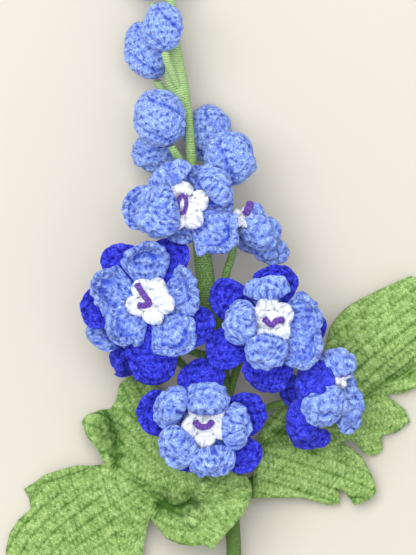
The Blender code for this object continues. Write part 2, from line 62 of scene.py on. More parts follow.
# The camera and the stage
PICTURE_HEIGHT = 555  # in pixels
PIXEL = 0.55  # size of a pixel on the spike
SUBJECT_HEIGHT = 35.0  # height above the floor at which a pixel has that size
CAMERA_HEIGHT = 5000.0
SENSOR = 36.0
VIEW_END = 20.0  # how far the camera sees, in metres
FLOOR_SIZE = 4.0  # in metres
WORLD_LIGHT = 0.72

# Lights: name, place and size in metres, power in watts
LIGHTS = (
    ("key", (-0.50, 0.6, 2.3), 2.4, 68.0),
    ("fill", (1.2, -0.4, 1.8), 1.8, 5.0),
)

# Sheets of crochet
SHEET = 3.0  # thickness of a crocheted sheet, as in the solids
LEAF_SHEET = 3.4
GAP = 0.3  # between two layers of a bloom, and between a pedicel and what it carries
FULL = 1.1  # a petal's puffed thickness, as a share of its sheet's
PUFF = 0.15  # how much thicker a petal is just inside its edge, as a share
THICK_PUFF = 0.35  # the same for rolled petals and pads
RIM = 3.0  # how far in from its edge a petal is thickest
LUMP = 4.8  # size of the lumps that stitches raise
FINE = 0.68  # how far apart a skin's points are
LEAF_MESH = 0.9

# Stitches: the legs of yarn in each, how plump a leg is, its lean in degrees and how loose it is
PETAL_LEGS = ((-1, 1), 0.29, 24, 0.95)
BUD_LEGS = ((-1, 1), 0.34, 22, 0.95)
CENTRE_FABRIC = (3.4, 3.8, (-1, 1), 0.32, 20, 0.7)  # first the width of a stitch and of a row
LEAF_FABRIC = (2.5, 3.6, (0,), 0.50, 0, 0.6)
DEPTH = 0.72  # height of the legs of yarn above the creases between them
LEAF_DEPTH = 0.9
CENTRE_DEPTH = 0.3
PAINTED_CREASE_LIGHT = 0.20  # how light the painted shade in the creases stays
STRAY = 0.35  # how far a loose leg strays and stands out, as a share of its stitch and its own height
TWIRL = 80  # how far it turns, in degrees
STRAIGHT = 0.3  # half of a leg's straight part, as a share of its row
NO_REPEAT = 10000  # stitches in a row that doesn't close round a piece

# Loose fibres on a piece: how many, and how long
PETAL_FUZZ = (1500, 1.4)
CENTRE_FUZZ = (700, 1.6)
LOOP_FUZZ = (120, 1.0)
BUD_FUZZ = (900, 1.2)
LEAF_FUZZ = (3500, 1.3)
STEM_FUZZ = (700, 1.0)
FIBRE = 0.028  # half a fibre's thickness; a real one has 0.01, which is too fine to show
FIBRE_TINT = 0.7

# Petals
INNER_ROLL = (3.6, 2.3)  # radius and turn, in radians, of a petal's rolled edge
OUTER_ROLL = (2.6, 1.55)
RUFFLE = 0.07  # how much a petal's sides wave, as a share of its width
WAVE = 1.5  # height of the waves along a petal
SWAY = 1.6  # how far a petal sways to its sides
TILT = 1.3  # how far one side of a petal stands above its middle
WEDGE = 0.69  # a petal's half width near its root, as a share of the distance from the middle
NARROWER = 0.96  # an inner petal's flat part has this share of its width, as its rolled edge adds to it
ROUNDED = 0.35  # the sides of a rolled petal turn over this share of its width nearer to the middle
SQUASH = 0.75  # height of a rolled petal's dome, as a share of its length
DENT = 0.13  # depth of the wide dents in a rolled petal, as a share of its roll's radius
SMALL_DENT = 0.09
FLAT_BEYOND = 1.0  # how far a layer lies flat beyond the white centre
OUTER_FLATTER = 1.2  # the outer layer lies flat this many times as far
OUTER_LEVEL = SHEET / 2
INNER_LEVEL = OUTER_LEVEL + SHEET + GAP

# White centres and purple loops
LOBES = 5
LOBE_POINTS = (44, 24)  # points of a lobe's skin, round it and from its root to its end
LOBE_FULL = 1.75  # a lobe's thickness, as a share of a sheet's
LOBE_WEDGE = 0.85
CENTRE_LEVEL = INNER_LEVEL + SHEET + GAP
CENTRE_FLAT = 0.6
CENTRE_PUFF = 0.2
CENTRE_LUMP = 4.4
KNOT = 0.95  # the knot in a white centre, as a share of its lobes' reach
KNOT_POINTS = (32, 16)
KNOT_FULL = 1.4
KNOT_RISE = 0.6
KNOT_BULGE = 1.5
LOOP_LEVEL = CENTRE_LEVEL + 4.2
LOOP_RISE = 0.30  # how much the loop rises, as a share of the distance from the middle
LOOP_RADIUS = 1.9
LOOP_PITCH = 2.6
LOOP_GROOVE = 0.22  # depth between its plies, as a share of its radius

# Buds
LAPS = 3  # petals that wrap round a bud
LAP = 0.80  # share of a lap over which it rises, before it drops to the next
LAP_TWIST = 1.3  # how far a lap turns, in radians, from the middle of the bud to an end
LAP_CREASE = 0.06  # width of the crease between laps, as a share of a lap

# Leaves
PAST_RIB = 40  # how far a midrib is drawn on past its ends
RIB_APART = 200  # each midrib's stitches start this much later, so that they differ
LEAF_ROWS_FROM = 400  # keeps the rows' numbers above 0
FADE = 60.0  # size of the stretches in which grooves fade
LEAF_LUMP = 7.0
GROOVE_WIDTH = 0.7
GROOVE_DEPTH = 0.8
EDGE_PUFF = 0.35  # how much thicker a leaf is just inside its edge, as a share

# Stem: sides of a winding and depth of its grooves
MAIN_WINDING = (14, 0.28)
PEDICEL_WINDING = (8, 0.25)
PEDICEL_RADIUS = 2.3
PEDICEL_SHARE = 0.1  # a bud's pedicel is thick by this share of the bud's thickness
PEDICEL_LEAST = 0.3  # and by this much more

# Main stem: x, y, z of its axis and its radius, from the cut foot to the tip
MAIN_STEM = (
    (13.0, -235.0, 4.2, 4.2),
    (14.3, -190.0, 8.2, 4.2),
    (14.3, -152.0, 13.0, 4.2),
    (13.2, -133.0, 16.0, 4.3),
    (11.0, -95.0, 21.5, 4.5),
    (7.7, -56.0, 26.5, 4.6),
    (3.5, -27.0, 29.5, 4.9),
    (0.0, -12.0, 30.6, 5.1),
    (-3.0, 12.0, 31.5, 5.0),
    (-6.5, 38.0, 32.0, 3.6),
    (-9.4, 70.0, 31.0, 2.9),
    (-11.0, 88.0, 29.5, 2.7),
    (-14.8, 98.0, 28.5, 5.5),
    (-17.5, 109.0, 27.3, 6.5),
    (-18.6, 123.0, 25.5, 4.6),
    (-20.6, 152.0, 20.2, 2.8),
    (-21.0, 180.0, 14.2, 2.4),
    (-20.6, 200.0, 9.6, 2.1),
    (-20.5, 213.0, 6.6, 1.9),
)

# Blooms: the back's place and where it faces, the outer petals' yarn and the pedicel's way to the bloom.
# Outer and inner petals: angle in degrees, reach, width, lift of the tip, bow, cup of the sides, curl.
# Rolled petals: angle, how far out the roll's middle is, its radius, its sweep in degrees, width.
# Pads are petals seen from their back or side: middle, facing, turn in degrees, reach, width, bulge.
# Centre: reach and the first lobe's angle; heart is its own place and facing, where it has one.
# Stamens: places that the loop goes through, from the bloom's middle; thin is the loop's radius.
BLOOMS = {
    "top": {
        "at": (-11.6, 38.8, 46.0),
        "facing": (-0.10, 0.04, 1.0),
        "yarn": "light",
        "stem": ((-4.5, 18.0, 31.5), (-8.0, 27.0, 34.0)),
        "outer": (
            (182, 34, 23, 4, 2, 2, 0), (118, 24, 18, 2, 1, 1, 0), (62, 23, 17, 2, 1, 0, 0),
            (0, 25, 20, 0, 0, 0, 0), (310, 22, 16, 0, 0, 0, 0), (255, 20, 16, 2, 1, 0, 0),
        ),
        "inner": (
            (318, 34, 24, 5, 3, 1, 1),
        ),
        "inner_rolled": (
            (118, 19.5, 4.6, 200, 26), (193, 13.5, 11.5, 225, 28), (34, 20.5, 6.0, 200, 25),
        ),
        "thin": 1.25,
        "centre": (12.5, 20),
        "stamens": (
            (-3.3, -3.6), (-0.6, -4.2), (0.9, 0.0), (0.6, 4.6), (-2.0, 5.4), (-3.6, 1.0), (-3.4, -2.8),
        ),
    },
    "top_side": {
        "at": (18.0, 30.0, 36.0),
        "facing": (0.86, 0.20, 0.46),
        "yarn": "light",
        "stem": ((6.6, -38.0, 28.5), (9.0, -12.0, 31.0), (10.0, 2.0, 33.0), (13.5, 14.0, 33.5)),
        "outer_pads": (
            ((34.9, 14.5, 33.0), (0.45, -0.35, 0.8), -25, 23, 15, 4),
            ((26.5, 24.0, 30.0), (0.2, 0.0, 0.95), 0, 24, 22, 4),
        ),
        "inner_pads": (
            ((29.7, 24.8, 46.0), (0.25, -0.1, 0.95), -20, 22, 19, 9),
            ((26.5, 34.0, 44.5), (0.4, 0.3, 0.85), 100, 13, 10, 3),
        ),
        "heart": {"at": (17.2, 31.5, 36.0), "facing": (0.2, 0.15, 0.95)},
        "centre": (5.5, 0),
        "stamens": ((0.5, 0.5), (2.2, 4.0), (3.8, 8.5)),
        "thin": 2.3,
    },
    "left": {
        "at": (-30.8, -13.5, 46.0),
        "facing": (-0.08, 0.06, 1.0),
        "yarn": "dark",
        "stem": ((5.5, -40.0, 28.0), (-2.0, -42.5, 31.0), (-14.0, -38.0, 35.0), (-25.0, -26.0, 40.0)),
        "outer": (
            (128, 37, 20, 4, 2, 1, 0), (68, 37, 20, -2, 1, 0, 0), (187, 38, 23, 2, 2, 1, 0),
            (270, 45, 25, -5, 2, 2, 0), (329, 38, 22, 5, 1, 1, 0),
        ),
        "inner": (
            (96, 31, 19.5, 8, 2, 4, 0), (15, 27, 24, 8, 3, 4, 0), (306, 33, 21.5, 5, 4, 2, 0),
            (226, 28, 21, 5, 2, 5, 0), (168, 31, 22, 7, 2, 5, 0),
        ),
        "centre": (12, 60),
        "stamens": ((-7.4, 9.6), (-3.6, 3.6), (-0.2, -1.2), (-2.6, -2.6), (-7.0, -2.6)),
    },
    "left_back": {
        "at": (-37.0, -33.0, 25.0),
        "facing": (-0.88, 0.0, -0.47),
        "yarn": "dark",
        "stem": ((8.5, -64.0, 24.5), (-4.0, -58.0, 24.0), (-20.0, -42.0, 26.0)),
        "outer": (
            (300, 23, 19, 4, 1, 1, 0), (15, 20, 19, 3, 1, 1, 0), (88, 21, 19, 3, 1, 1, 0),
            (155, 18, 17, 3, 1, 1, 0), (228, 20, 18, 3, 1, 1, 0),
        ),
        "inner": (
            (12, 22, 19, 11, 2, -1, 0), (85, 20, 18, 11, 2, -1, 0), (158, 16, 16, 11, 2, -1, 0),
        ),
        "outer_pads": (((-48.0, -44.0, 24.0), (-0.3, -0.3, 0.9), 60, 15, 13, 4),),
        "inner_pads": (((-58.0, -29.0, 22.0), (-0.5, 0.0, 0.85), 0, 14, 13, 4),),
        "centre": (10.5, 0),
        "stamens": ((-3.0, -3.0), (0.0, 1.0), (4.0, -2.0)),
    },
    "right": {
        "at": (33.0, -24.5, 46.0),
        "facing": (0.05, 0.05, 1.0),
        "yarn": "dark",
        "stem": ((10.5, -72.0, 24.5), (13.0, -60.0, 27.0), (18.0, -45.0, 32.0), (27.0, -33.0, 39.0)),
        "outer": (
            (79, 31, 23, 4, 1, 2, 0), (150, 36, 19, 3, 2, 1, 0), (213, 39, 20, 2, 2, 1, 0),
            (270, 38, 25, 2, -1, 4, 0), (350, 31, 17, 2, 1, 1, 0),
        ),
        "inner": (
            (12, 27, 19, 7, 3, 4, 0), (322, 33, 20.5, 6, 4, 2, 0),
        ),
        "inner_rolled": (
            (94, 18.3, 5.2, 200, 25), (264, 16.0, 9.0, 225, 23), (183, 15.5, 8.0, 225, 24),
        ),
        "centre": (13, 30),
        "stamens": ((-3.5, 2.0), (1.0, -2.0), (3.5, 0.0), (8.5, 0.8)),
    },
    "middle": {
        "at": (-1.1, -79.5, 43.0),
        "facing": (0.0, -0.08, 1.0),
        "yarn": "dark",
        "stem": ((9.5, -84.0, 23.0), (6.5, -84.0, 29.0), (1.5, -82.0, 35.0)),
        "outer": (
            (97, 35, 24, -2, 2, 1, 0), (169, 38, 23, 4, 1, 1, 0), (13, 33, 22, 4, 1, 1, 0),
            (318, 36, 19, 2, 2, 1, 0), (240, 29, 19, 1, 1, 0, 0),
        ),
        "inner_rolled": (
            (153, 20.5, 8.0, 195, 24), (219, 18.5, 9.0, 215, 25), (280, 19.5, 8.0, 205, 25),
            (88, 13.8, 7.8, 225, 24), (357, 16.5, 6.5, 215, 25),
        ),
        "centre": (12.5, 50),
        "stamens": ((-6.5, 2.5), (-3.5, -1.0), (1.0, -1.0), (4.0, 2.5)),
    },
    "right_side": {
        "at": (56.0, -65.0, 35.0),
        "facing": (0.94, 0.12, 0.32),
        "yarn": "dark",
        "stem": ((11.8, -100.0, 21.0), (17.0, -86.0, 26.0), (31.0, -73.0, 29.0), (45.0, -68.0, 31.0)),
        "outer_pads": (
            ((57.8, -57.5, 50.0), (-0.30, 0.1, 0.95), 90, 25, 22, 10),
            ((50.6, -79.5, 42.0), (-0.40, -0.2, 0.9), 80, 26, 18, 9),
            ((57.0, -89.0, 31.0), (0.0, -0.6, 0.8), 10, 21, 13, 3),
            ((45.0, -62.0, 33.0), (-0.8, 0.0, 0.6), 90, 17, 14, 3),
        ),
        "inner_pads": (
            ((71.0, -46.5, 46.0), (0.1, 0.3, 0.95), 0, 20, 16, 7),
            ((75.5, -56.0, 34.0), (0.7, 0.1, 0.7), 90, 18, 14, 3),
            ((78.5, -73.0, 37.0), (0.55, -0.1, 0.8), 90, 26, 17, 5),
            ((64.0, -70.5, 52.0), (0.1, -0.2, 0.97), 40, 24, 22, 9),
        ),
        "heart": {"at": (66.0, -58.0, 37.0), "facing": (0.6, 0.3, 0.7)},
        "centre": (5.0, 0),
        "stamens": ((-3.0, 0.0), (0.0, 2.0), (2.0, 6.0)),
    },
}

# Buds: middle, axis from the base to the tip, thickness, length, and where the pedicel leaves the stem
BUDS = {
    "bud_1": ((-29.2, 68.5, 17.5), (-0.85, 0.35, -0.1), 21.0, 27.0, (-6.6, 44.0, 30.5)),
    "bud_2": ((11.6, 65.2, 38.5), (0.35, 0.93, 0.1), 27.0, 32.0, (-7.0, 42.0, 32.0)),
    "bud_3": ((0.3, 79.5, 13.5), (0.05, 1.0, 0.0), 23.0, 33.0, (-8.0, 55.0, 30.0)),
    "bud_4": ((-26.6, 87.7, 41.0), (-0.4, 0.9, 0.05), 27.0, 33.0, (-8.6, 54.0, 33.0)),
    "bud_5": ((-33.8, 125.1, 19.5), (-0.35, 0.94, 0.0), 22.0, 34.0, (-13.0, 88.0, 29.5)),
    "bud_6": ((-24.6, 137.8, 41.0), (-0.1, 1.0, 0.05), 20.7, 27.8, (-14.6, 100.0, 30.0)),
    "bud_7": ((-34.0, 165.0, 18.5), (-0.25, 0.97, 0.0), 18.0, 26.0, (-20.3, 140.0, 22.5)),
    "bud_8": ((-9.5, 178.0, 15.0), (0.3, 0.95, 0.0), 16.5, 23.0, (-20.8, 154.0, 20.0)),
    "bud_9": ((-31.0, 194.0, 10.5), (-0.25, 0.97, 0.0), 15.0, 20.0, (-21.0, 172.0, 16.0)),
    "bud_10": ((-11.0, 203.5, 9.0), (0.3, 0.95, 0.0), 13.0, 18.0, (-20.9, 184.0, 13.2)),
    "bud_tip": ((-20.6, 223.6, 6.05), (0.0, 1.0, 0.0), 12.0, 20.0, None),
}

# Leaves: outline, places with their heights in the middle of the sheet, folds with their line, height and
# width, below 0 for one that goes down, how high the rows stand as ribs, and the midribs they run along
LEAVES = {
    "leaf_left": {
        "outline": (
            (15, -106), (4, -96), (-13, -84), (-24, -65), (-32, -55), (-40, -54), (-45, -55), (-49, -59),
            (-51, -68), (-54, -73), (-59, -73), (-67, -76), (-70, -80), (-67, -88), (-61, -95),
            (-57, -103), (-64, -104), (-73, -104), (-81, -106), (-90, -109), (-97, -114), (-102, -117),
            (-99, -122), (-98, -128), (-105, -134), (-110, -142), (-112, -151), (-110, -164),
            (-101, -176), (-87, -184), (-72, -188), (-57, -184), (-45, -175), (-38, -164), (-36, -153),
            (-34, -139), (-32, -133), (-28, -138), (-23, -144), (-16, -147), (-8, -148), (-2, -147),
            (2, -150), (4, -148), (9, -142), (19, -131), (22, -125), (24, -120), (24, -114), (21, -109),
        ),
        "heights": (
            (15, -111, 31), (-4, -100, 29), (-20, -106, 26), (-18, -125, 23), (10, -125, 36),
            (22, -118, 33), (-4, -134, 28), (-3, -147, 31), (-16, -144, 27), (-34, -134, 12),
            (-44, -112, 17), (-62, -154, 9), (-38, -158, 9), (-72, -186, 2), (-104, -170, 2),
            (-110, -146, 2), (-101, -117, 2), (-96, -128, 3), (-72, -105, 9), (-80, -114, 7),
            (-57, -102, 11), (-68, -79, 6), (-63, -86, 15), (-51, -86, 7), (-44, -74, 13), (-46, -58, 9),
            (-34, -56, 8), (-28, -76, 15),
        ),
        "folds": (
            (((-25, -126), (-16, -126), (-8, -123)), -9.0, 6.0),
            (((1, -106), (-2, -116), (-5, -126), (-9, -133)), 6.5, 3.8),
            (((-55, -76), (-51, -90), (-50, -103)), -6.0, 5.0),
            (((-40, -112), (-31, -118), (-22, -120)), -3.0, 3.5),
            (((-108, -122), (-85, -112), (-62, -104)), -2.5, 3.0),
        ),
        "ribbed": 0.2,
        "midribs": (
            ((-20, -108), (-38, -116), (-62, -132), (-84, -150), (-98, -172)),
            ((-22, -106), (-34, -95), (-46, -82), (-56, -78)),
            ((-20, -104), (-26, -88), (-34, -70), (-40, -58)),
            ((8, -104), (10, -113), (9, -125), (2, -135), (-10, -140), (-24, -136), (-32, -131)),
            ((-42, -108), (-28, -114), (-14, -118), (-4, -116)),
        ),
    },
    "leaf_right": {
        "outline": (
            (27, -96), (25, -109), (24, -122), (40, -122), (51, -122), (59, -124), (67, -126), (73, -125),
            (73, -120), (71, -117), (76, -119), (79, -123), (81, -126), (91, -122), (93, -118),
            (92, -112), (89, -106), (85, -99), (79, -94), (73, -91), (79, -90), (83, -93), (86, -97),
            (90, -99), (94, -98), (97, -95), (96, -88), (104, -86), (112, -80), (109, -73), (104, -69),
            (98, -65), (109, -64), (115, -61), (123, -55), (132, -46), (140, -35), (144, -24), (140, -16),
            (131, -8), (122, -3), (112, 1), (105, -2), (94, -7), (82, -13), (76, -17), (71, -22),
            (67, -28), (65, -38), (61, -49), (51, -59), (42, -68), (34, -77), (28, -87),
        ),
        "heights": (
            (27, -97, 19), (30, -118, 13), (55, -121, 8), (71, -122, 5), (90, -118, 8), (84, -124, 11),
            (50, -100, 14), (72, -104, 9), (88, -104, 6), (56, -75, 12), (75, -90, 7), (93, -96, 3),
            (110, -78, 3), (98, -66, 5), (90, -76, 9), (70, -50, 11), (72, -30, 10), (84, -16, 8),
            (112, 0, 6), (96, -34, 17), (120, -34, 11), (142, -24, 2), (134, -44, 3), (116, -58, 5),
            (36, -80, 16),
        ),
        "folds": (
            (((78, -123), (86, -122)), -4.0, 4.0),
            (((70, -78), (95, -60), (112, -50)), -4.0, 5.0),
            (((30, -92), (42, -84), (56, -72)), -4.0, 6.0),
        ),
        "ribbed": 0.4,
        "midribs": (
            ((36, -98), (56, -104), (74, -110), (88, -116)),
            ((40, -94), (60, -88), (78, -84), (104, -78)),
            ((44, -90), (66, -66), (92, -42), (118, -22), (130, -14)),
        ),
    },
}

# The leaves' stalks, which are bound into the stem
LEAF_LEFT_STALK = ((13.6, -140.0, 15.0), (13.0, -128.0, 19.0), (11.0, -116.0, 25.0))
LEAF_RIGHT_STALK = ((13.0, -122.0, 17.0), (19.0, -117.0, 12.5), (26.0, -111.0, 9.5), (37.0, -105.0, 5.0))


def linear(code):
    """Linear colour from an sRGB hex code."""
    parts = [int(code[i : i + 2], 16) / 255 for i in (0, 2, 4)]
    return tuple(c / 12.92 if c <= 0.04045 else ((c + 0.055) / 1.055) ** 2.4 for c in parts)


class SPIKE_PG_yarn(bpy.types.PropertyGroup):
    """Sizes of the crochet."""

    row: bpy.props.FloatProperty(
        name="Row", description="Height of a row of stitches", default=3.2 * MM, unit="LENGTH"
    )
    stitch: bpy.props.FloatProperty(
        name="Stitch", description="Width of a stitch", default=3.1 * MM, unit="LENGTH"
    )
    thread: bpy.props.FloatProperty(
        name="Thread", description="Pitch of the thread wound on the stem", default=1.3 * MM, unit="LENGTH"
    )


class SPIKE_PG_colours(bpy.types.PropertyGroup):
    """Colours of the yarns."""

    light: bpy.props.FloatVectorProperty(
        name="Light blue", description="Inner petals and buds", subtype="COLOR", default=linear("93b2f6")
    )
    dark: bpy.props.FloatVectorProperty(
        name="Dark blue", description="Outer petals", subtype="COLOR", default=linear("3a42dd")
    )
    white: bpy.props.FloatVectorProperty(
        name="White", description="Centres of the blooms", subtype="COLOR", default=linear("fbfdfd")
    )
    purple: bpy.props.FloatVectorProperty(
        name="Purple", description="Loops in the centres", subtype="COLOR", default=linear("6a45a6")
    )
    leaf: bpy.props.FloatVectorProperty(
        name="Leaf green", description="Crocheted leaves", subtype="COLOR", default=linear("99b969")
    )
    thread: bpy.props.FloatVectorProperty(
        name="Thread green", description="Thread wound on the stem", subtype="COLOR", default=linear("84b060")
    )


def unit(v):
    """Directions of length 1."""
    return v / np.maximum(np.linalg.norm(v, axis=-1, keepdims=True), 1e-9)


def lengths_along(line):
    """How far along a line of points each of them is."""
    return np.append(0, np.cumsum(np.linalg.norm(np.diff(line, axis=0), axis=1)))


def nearest(places, line):
    """How far places are from the nearest of a line's points."""
    return np.linalg.norm(places[:, None] - line[None], axis=2).min(1)


def rounded(deep):
    """Share of its thickness that a sheet with a round edge has, that far in from the edge."""
    return np.sqrt(1 - (1 - np.clip(deep / RIM, 0, 1)) ** 2)


def put(name, data):
    """A new object in the scene."""
    made = bpy.data.objects.new(name, data)
    bpy.context.scene.collection.objects.link(made)
    return made


def in_order(faces):
    """The same triangles in the order of their points, because the operator's order changes each run."""
    start = faces.argmin(1)[:, None]
    faces = np.take_along_axis(faces, (start + np.arange(3)) % 3, axis=1)
    return faces[np.lexsort(faces.T[::-1])]


@functools.lru_cache
def ball(around, rows):
    """A ball's points and triangles."""
    bm = bmesh.new()
    bmesh.ops.create_uvsphere(bm, u_segments=around, v_segments=rows, radius=1)
    bmesh.ops.triangulate(bm, faces=bm.faces)
    bm.verts.index_update()
    points = np.array([v.co[:] for v in bm.verts])
    faces = np.array([[v.index for v in face.verts] for face in bm.faces])
    bm.free()
    return points, in_order(faces)


def chance(i, j, k):
    """Random shares from 0 to 1, always the same ones for the same numbers."""
    return np.modf(np.abs(np.sin(12.9898 * i + 78.233 * j + 37.719 * k)) * 43758.5453)[0]


def relief(column, v, fabric):
    """Height of crochet, from 0 to 1, with how far across and along its own leg of yarn each place is,
    and that leg's tint.

    The rows lie beside each other along v. In row j, column(j) gives each place's stitch along the row and
    the number of stitches after which they repeat.
    """
    width, row, legs, plump, lean, loose = fabric
    line = np.floor(v / row)
    best = np.full(len(v), -1.0)
    own = np.zeros((3, len(v)))
    for j in (line - 1, line, line + 1):
        u, around = column(j)
        shift = 0.5 * (j % 2)
        first = np.floor(u - shift)
        for i in (first - 1, first, first + 1):
            for side in legs:
                a, b, c, d = (chance(i % around, j, 7 * side + k) - 0.5 for k in range(4))
                x = (u - i - shift - 0.5 - 0.25 * side - STRAY * loose * a) * width
                y = v - (j + 0.5 + STRAY * loose * b) * row
                turn = np.radians(lean * side + TWIRL * loose * c)
                across = x * np.cos(turn) - y * np.sin(turn)
                along = x * np.sin(turn) + y * np.cos(turn)
                far = np.hypot(across, np.maximum(0, np.abs(along) - STRAIGHT * row)) / (plump * width)
                height = np.sqrt(np.maximum(0, 1 - far**2)) + np.where(far < 1, STRAY * loose * d, -0.2)
                better = height > best
                best = np.where(better, height, best)
                own = np.where(better, (across, along + 4 * a, d + 0.5), own)
    return np.clip(best, 0, 1), own.T


# Waves that add up to smooth random lumps
DRAWN = np.random.default_rng(SEED)
WAVES = unit(DRAWN.normal(0, 1, (9, 3)))
PHASES = DRAWN.uniform(0, 2 * math.pi, 9)


def lumps(points, size):
    """Smooth random lumps of about that size, mostly from -1 to 1."""
    return np.sin(points @ WAVES.T * (2 * math.pi / size) + PHASES).sum(-1) / 3


class Yarnwork:
    """The sheets and stitches of one piece, in the drawing's millimetres."""

    def __init__(self, seed):
        self.random = np.random.default_rng(SEED + seed)
        self.points = []
        self.faces = []
        self.strands = []
        self.tints = []
        self.painted_lights = []
        self.count = 0

    def add(self, points, faces, strand, tint, painted_light):
        """More of the piece: its points' place on the yarn, its tint and its painted light, from 0 for
        painted shade in a crease to 1.
        """
        self.points.append(points)
        self.faces.append(faces + self.count)
        self.strands.append(strand)
        self.tints.append(np.broadcast_to(tint, len(points)))
        self.painted_lights.append(np.broadcast_to(painted_light, len(points)))
        self.count += len(points)

    def sheet(self, around, rows, place):
        """A closed skin: a ball whose points are moved by place(share from pole to pole, turn)."""
        points, faces = ball(around, rows)
        share = np.arccos(np.clip(-points[:, 2], -1, 1)) / math.pi
        turn = np.arctan2(points[:, 1], points[:, 0])
        placed, painted_light, strand = place(share, turn)
        self.add(placed, faces, strand, strand[:, 2], painted_light)

    def fuzz(self, count, length):
        """Loose fibres that stand out of the yarn."""
        points = np.concatenate(self.points)
        faces = np.concatenate(self.faces)
        chosen = faces[self.random.integers(0, len(faces), count)]
        a, b, c = points[chosen[:, 0]], points[chosen[:, 1]], points[chosen[:, 2]]
        root = (a + b + c) / 3
        out = unit(unit(np.cross(b - a, c - a)) + self.random.normal(0, 0.55, (count, 3)))
        side = unit(np.cross(out, self.random.normal(0, 1, (count, 3))))
        other = np.cross(out, side)
        reach = self.random.uniform(0.4, 1.0, (count, 1)) * length
        bend = side * reach * self.random.normal(0, 0.25, (count, 1))
        near = root - side * FIBRE / 2
        foot = [root + side * FIBRE, near + other * FIBRE, near - other * FIBRE]
        placed = np.stack([*foot, root + out * reach + bend], axis=1).reshape(-1, 3)
        spike = np.array(((0, 1, 3), (1, 2, 3), (2, 0, 3), (0, 2, 1)))
        every = (spike[None] + (np.arange(count) * 4)[:, None, None]).reshape(-1, 3)
        self.add(placed, every, placed, FIBRE_TINT, 1.0)

    def finish(self, name, nodes, yarn):
        """The piece's object, in the frame's metres."""
        points = (np.concatenate(self.points) - MIDDLE) * MM
        mesh = bpy.data.meshes.new(name)
        mesh.from_pydata(points, [], np.concatenate(self.faces))
        strand = mesh.attributes.new("strand", "FLOAT_VECTOR", "POINT")
        strand.data.foreach_set("vector", np.concatenate(self.strands).astype(np.float32).ravel())
        # the second of these is painted light: low values paint shade into the creases in the material
        for key, values in (("tint", self.tints), ("painted_light", self.painted_lights)):
            layer = mesh.attributes.new(key, "FLOAT", "POINT")
            layer.data.foreach_set("value", np.concatenate(values).astype(np.float32))
        mesh.shade_smooth()
        mesh.materials.append(yarn)
        piece = put(name, mesh)
        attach(piece, "root")
        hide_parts(*nodes)
        return piece


def bloom_frame(bloom):
    """Matrix from a bloom's own frame, whose Z is where it faces, to the drawing's."""
    facing = Vector(bloom["facing"]).normalized()
    up = (Vector((0, 1, 0)) - facing * facing.y).normalized()
    turn = Matrix((up.cross(facing), up, facing)).transposed().to_4x4()
    return np.array(Matrix.Translation(bloom["at"]) @ turn)


def into(matrix, points):
    """Points turned and moved by a matrix."""
    return points @ matrix[:3, :3].T + matrix[:3, 3]


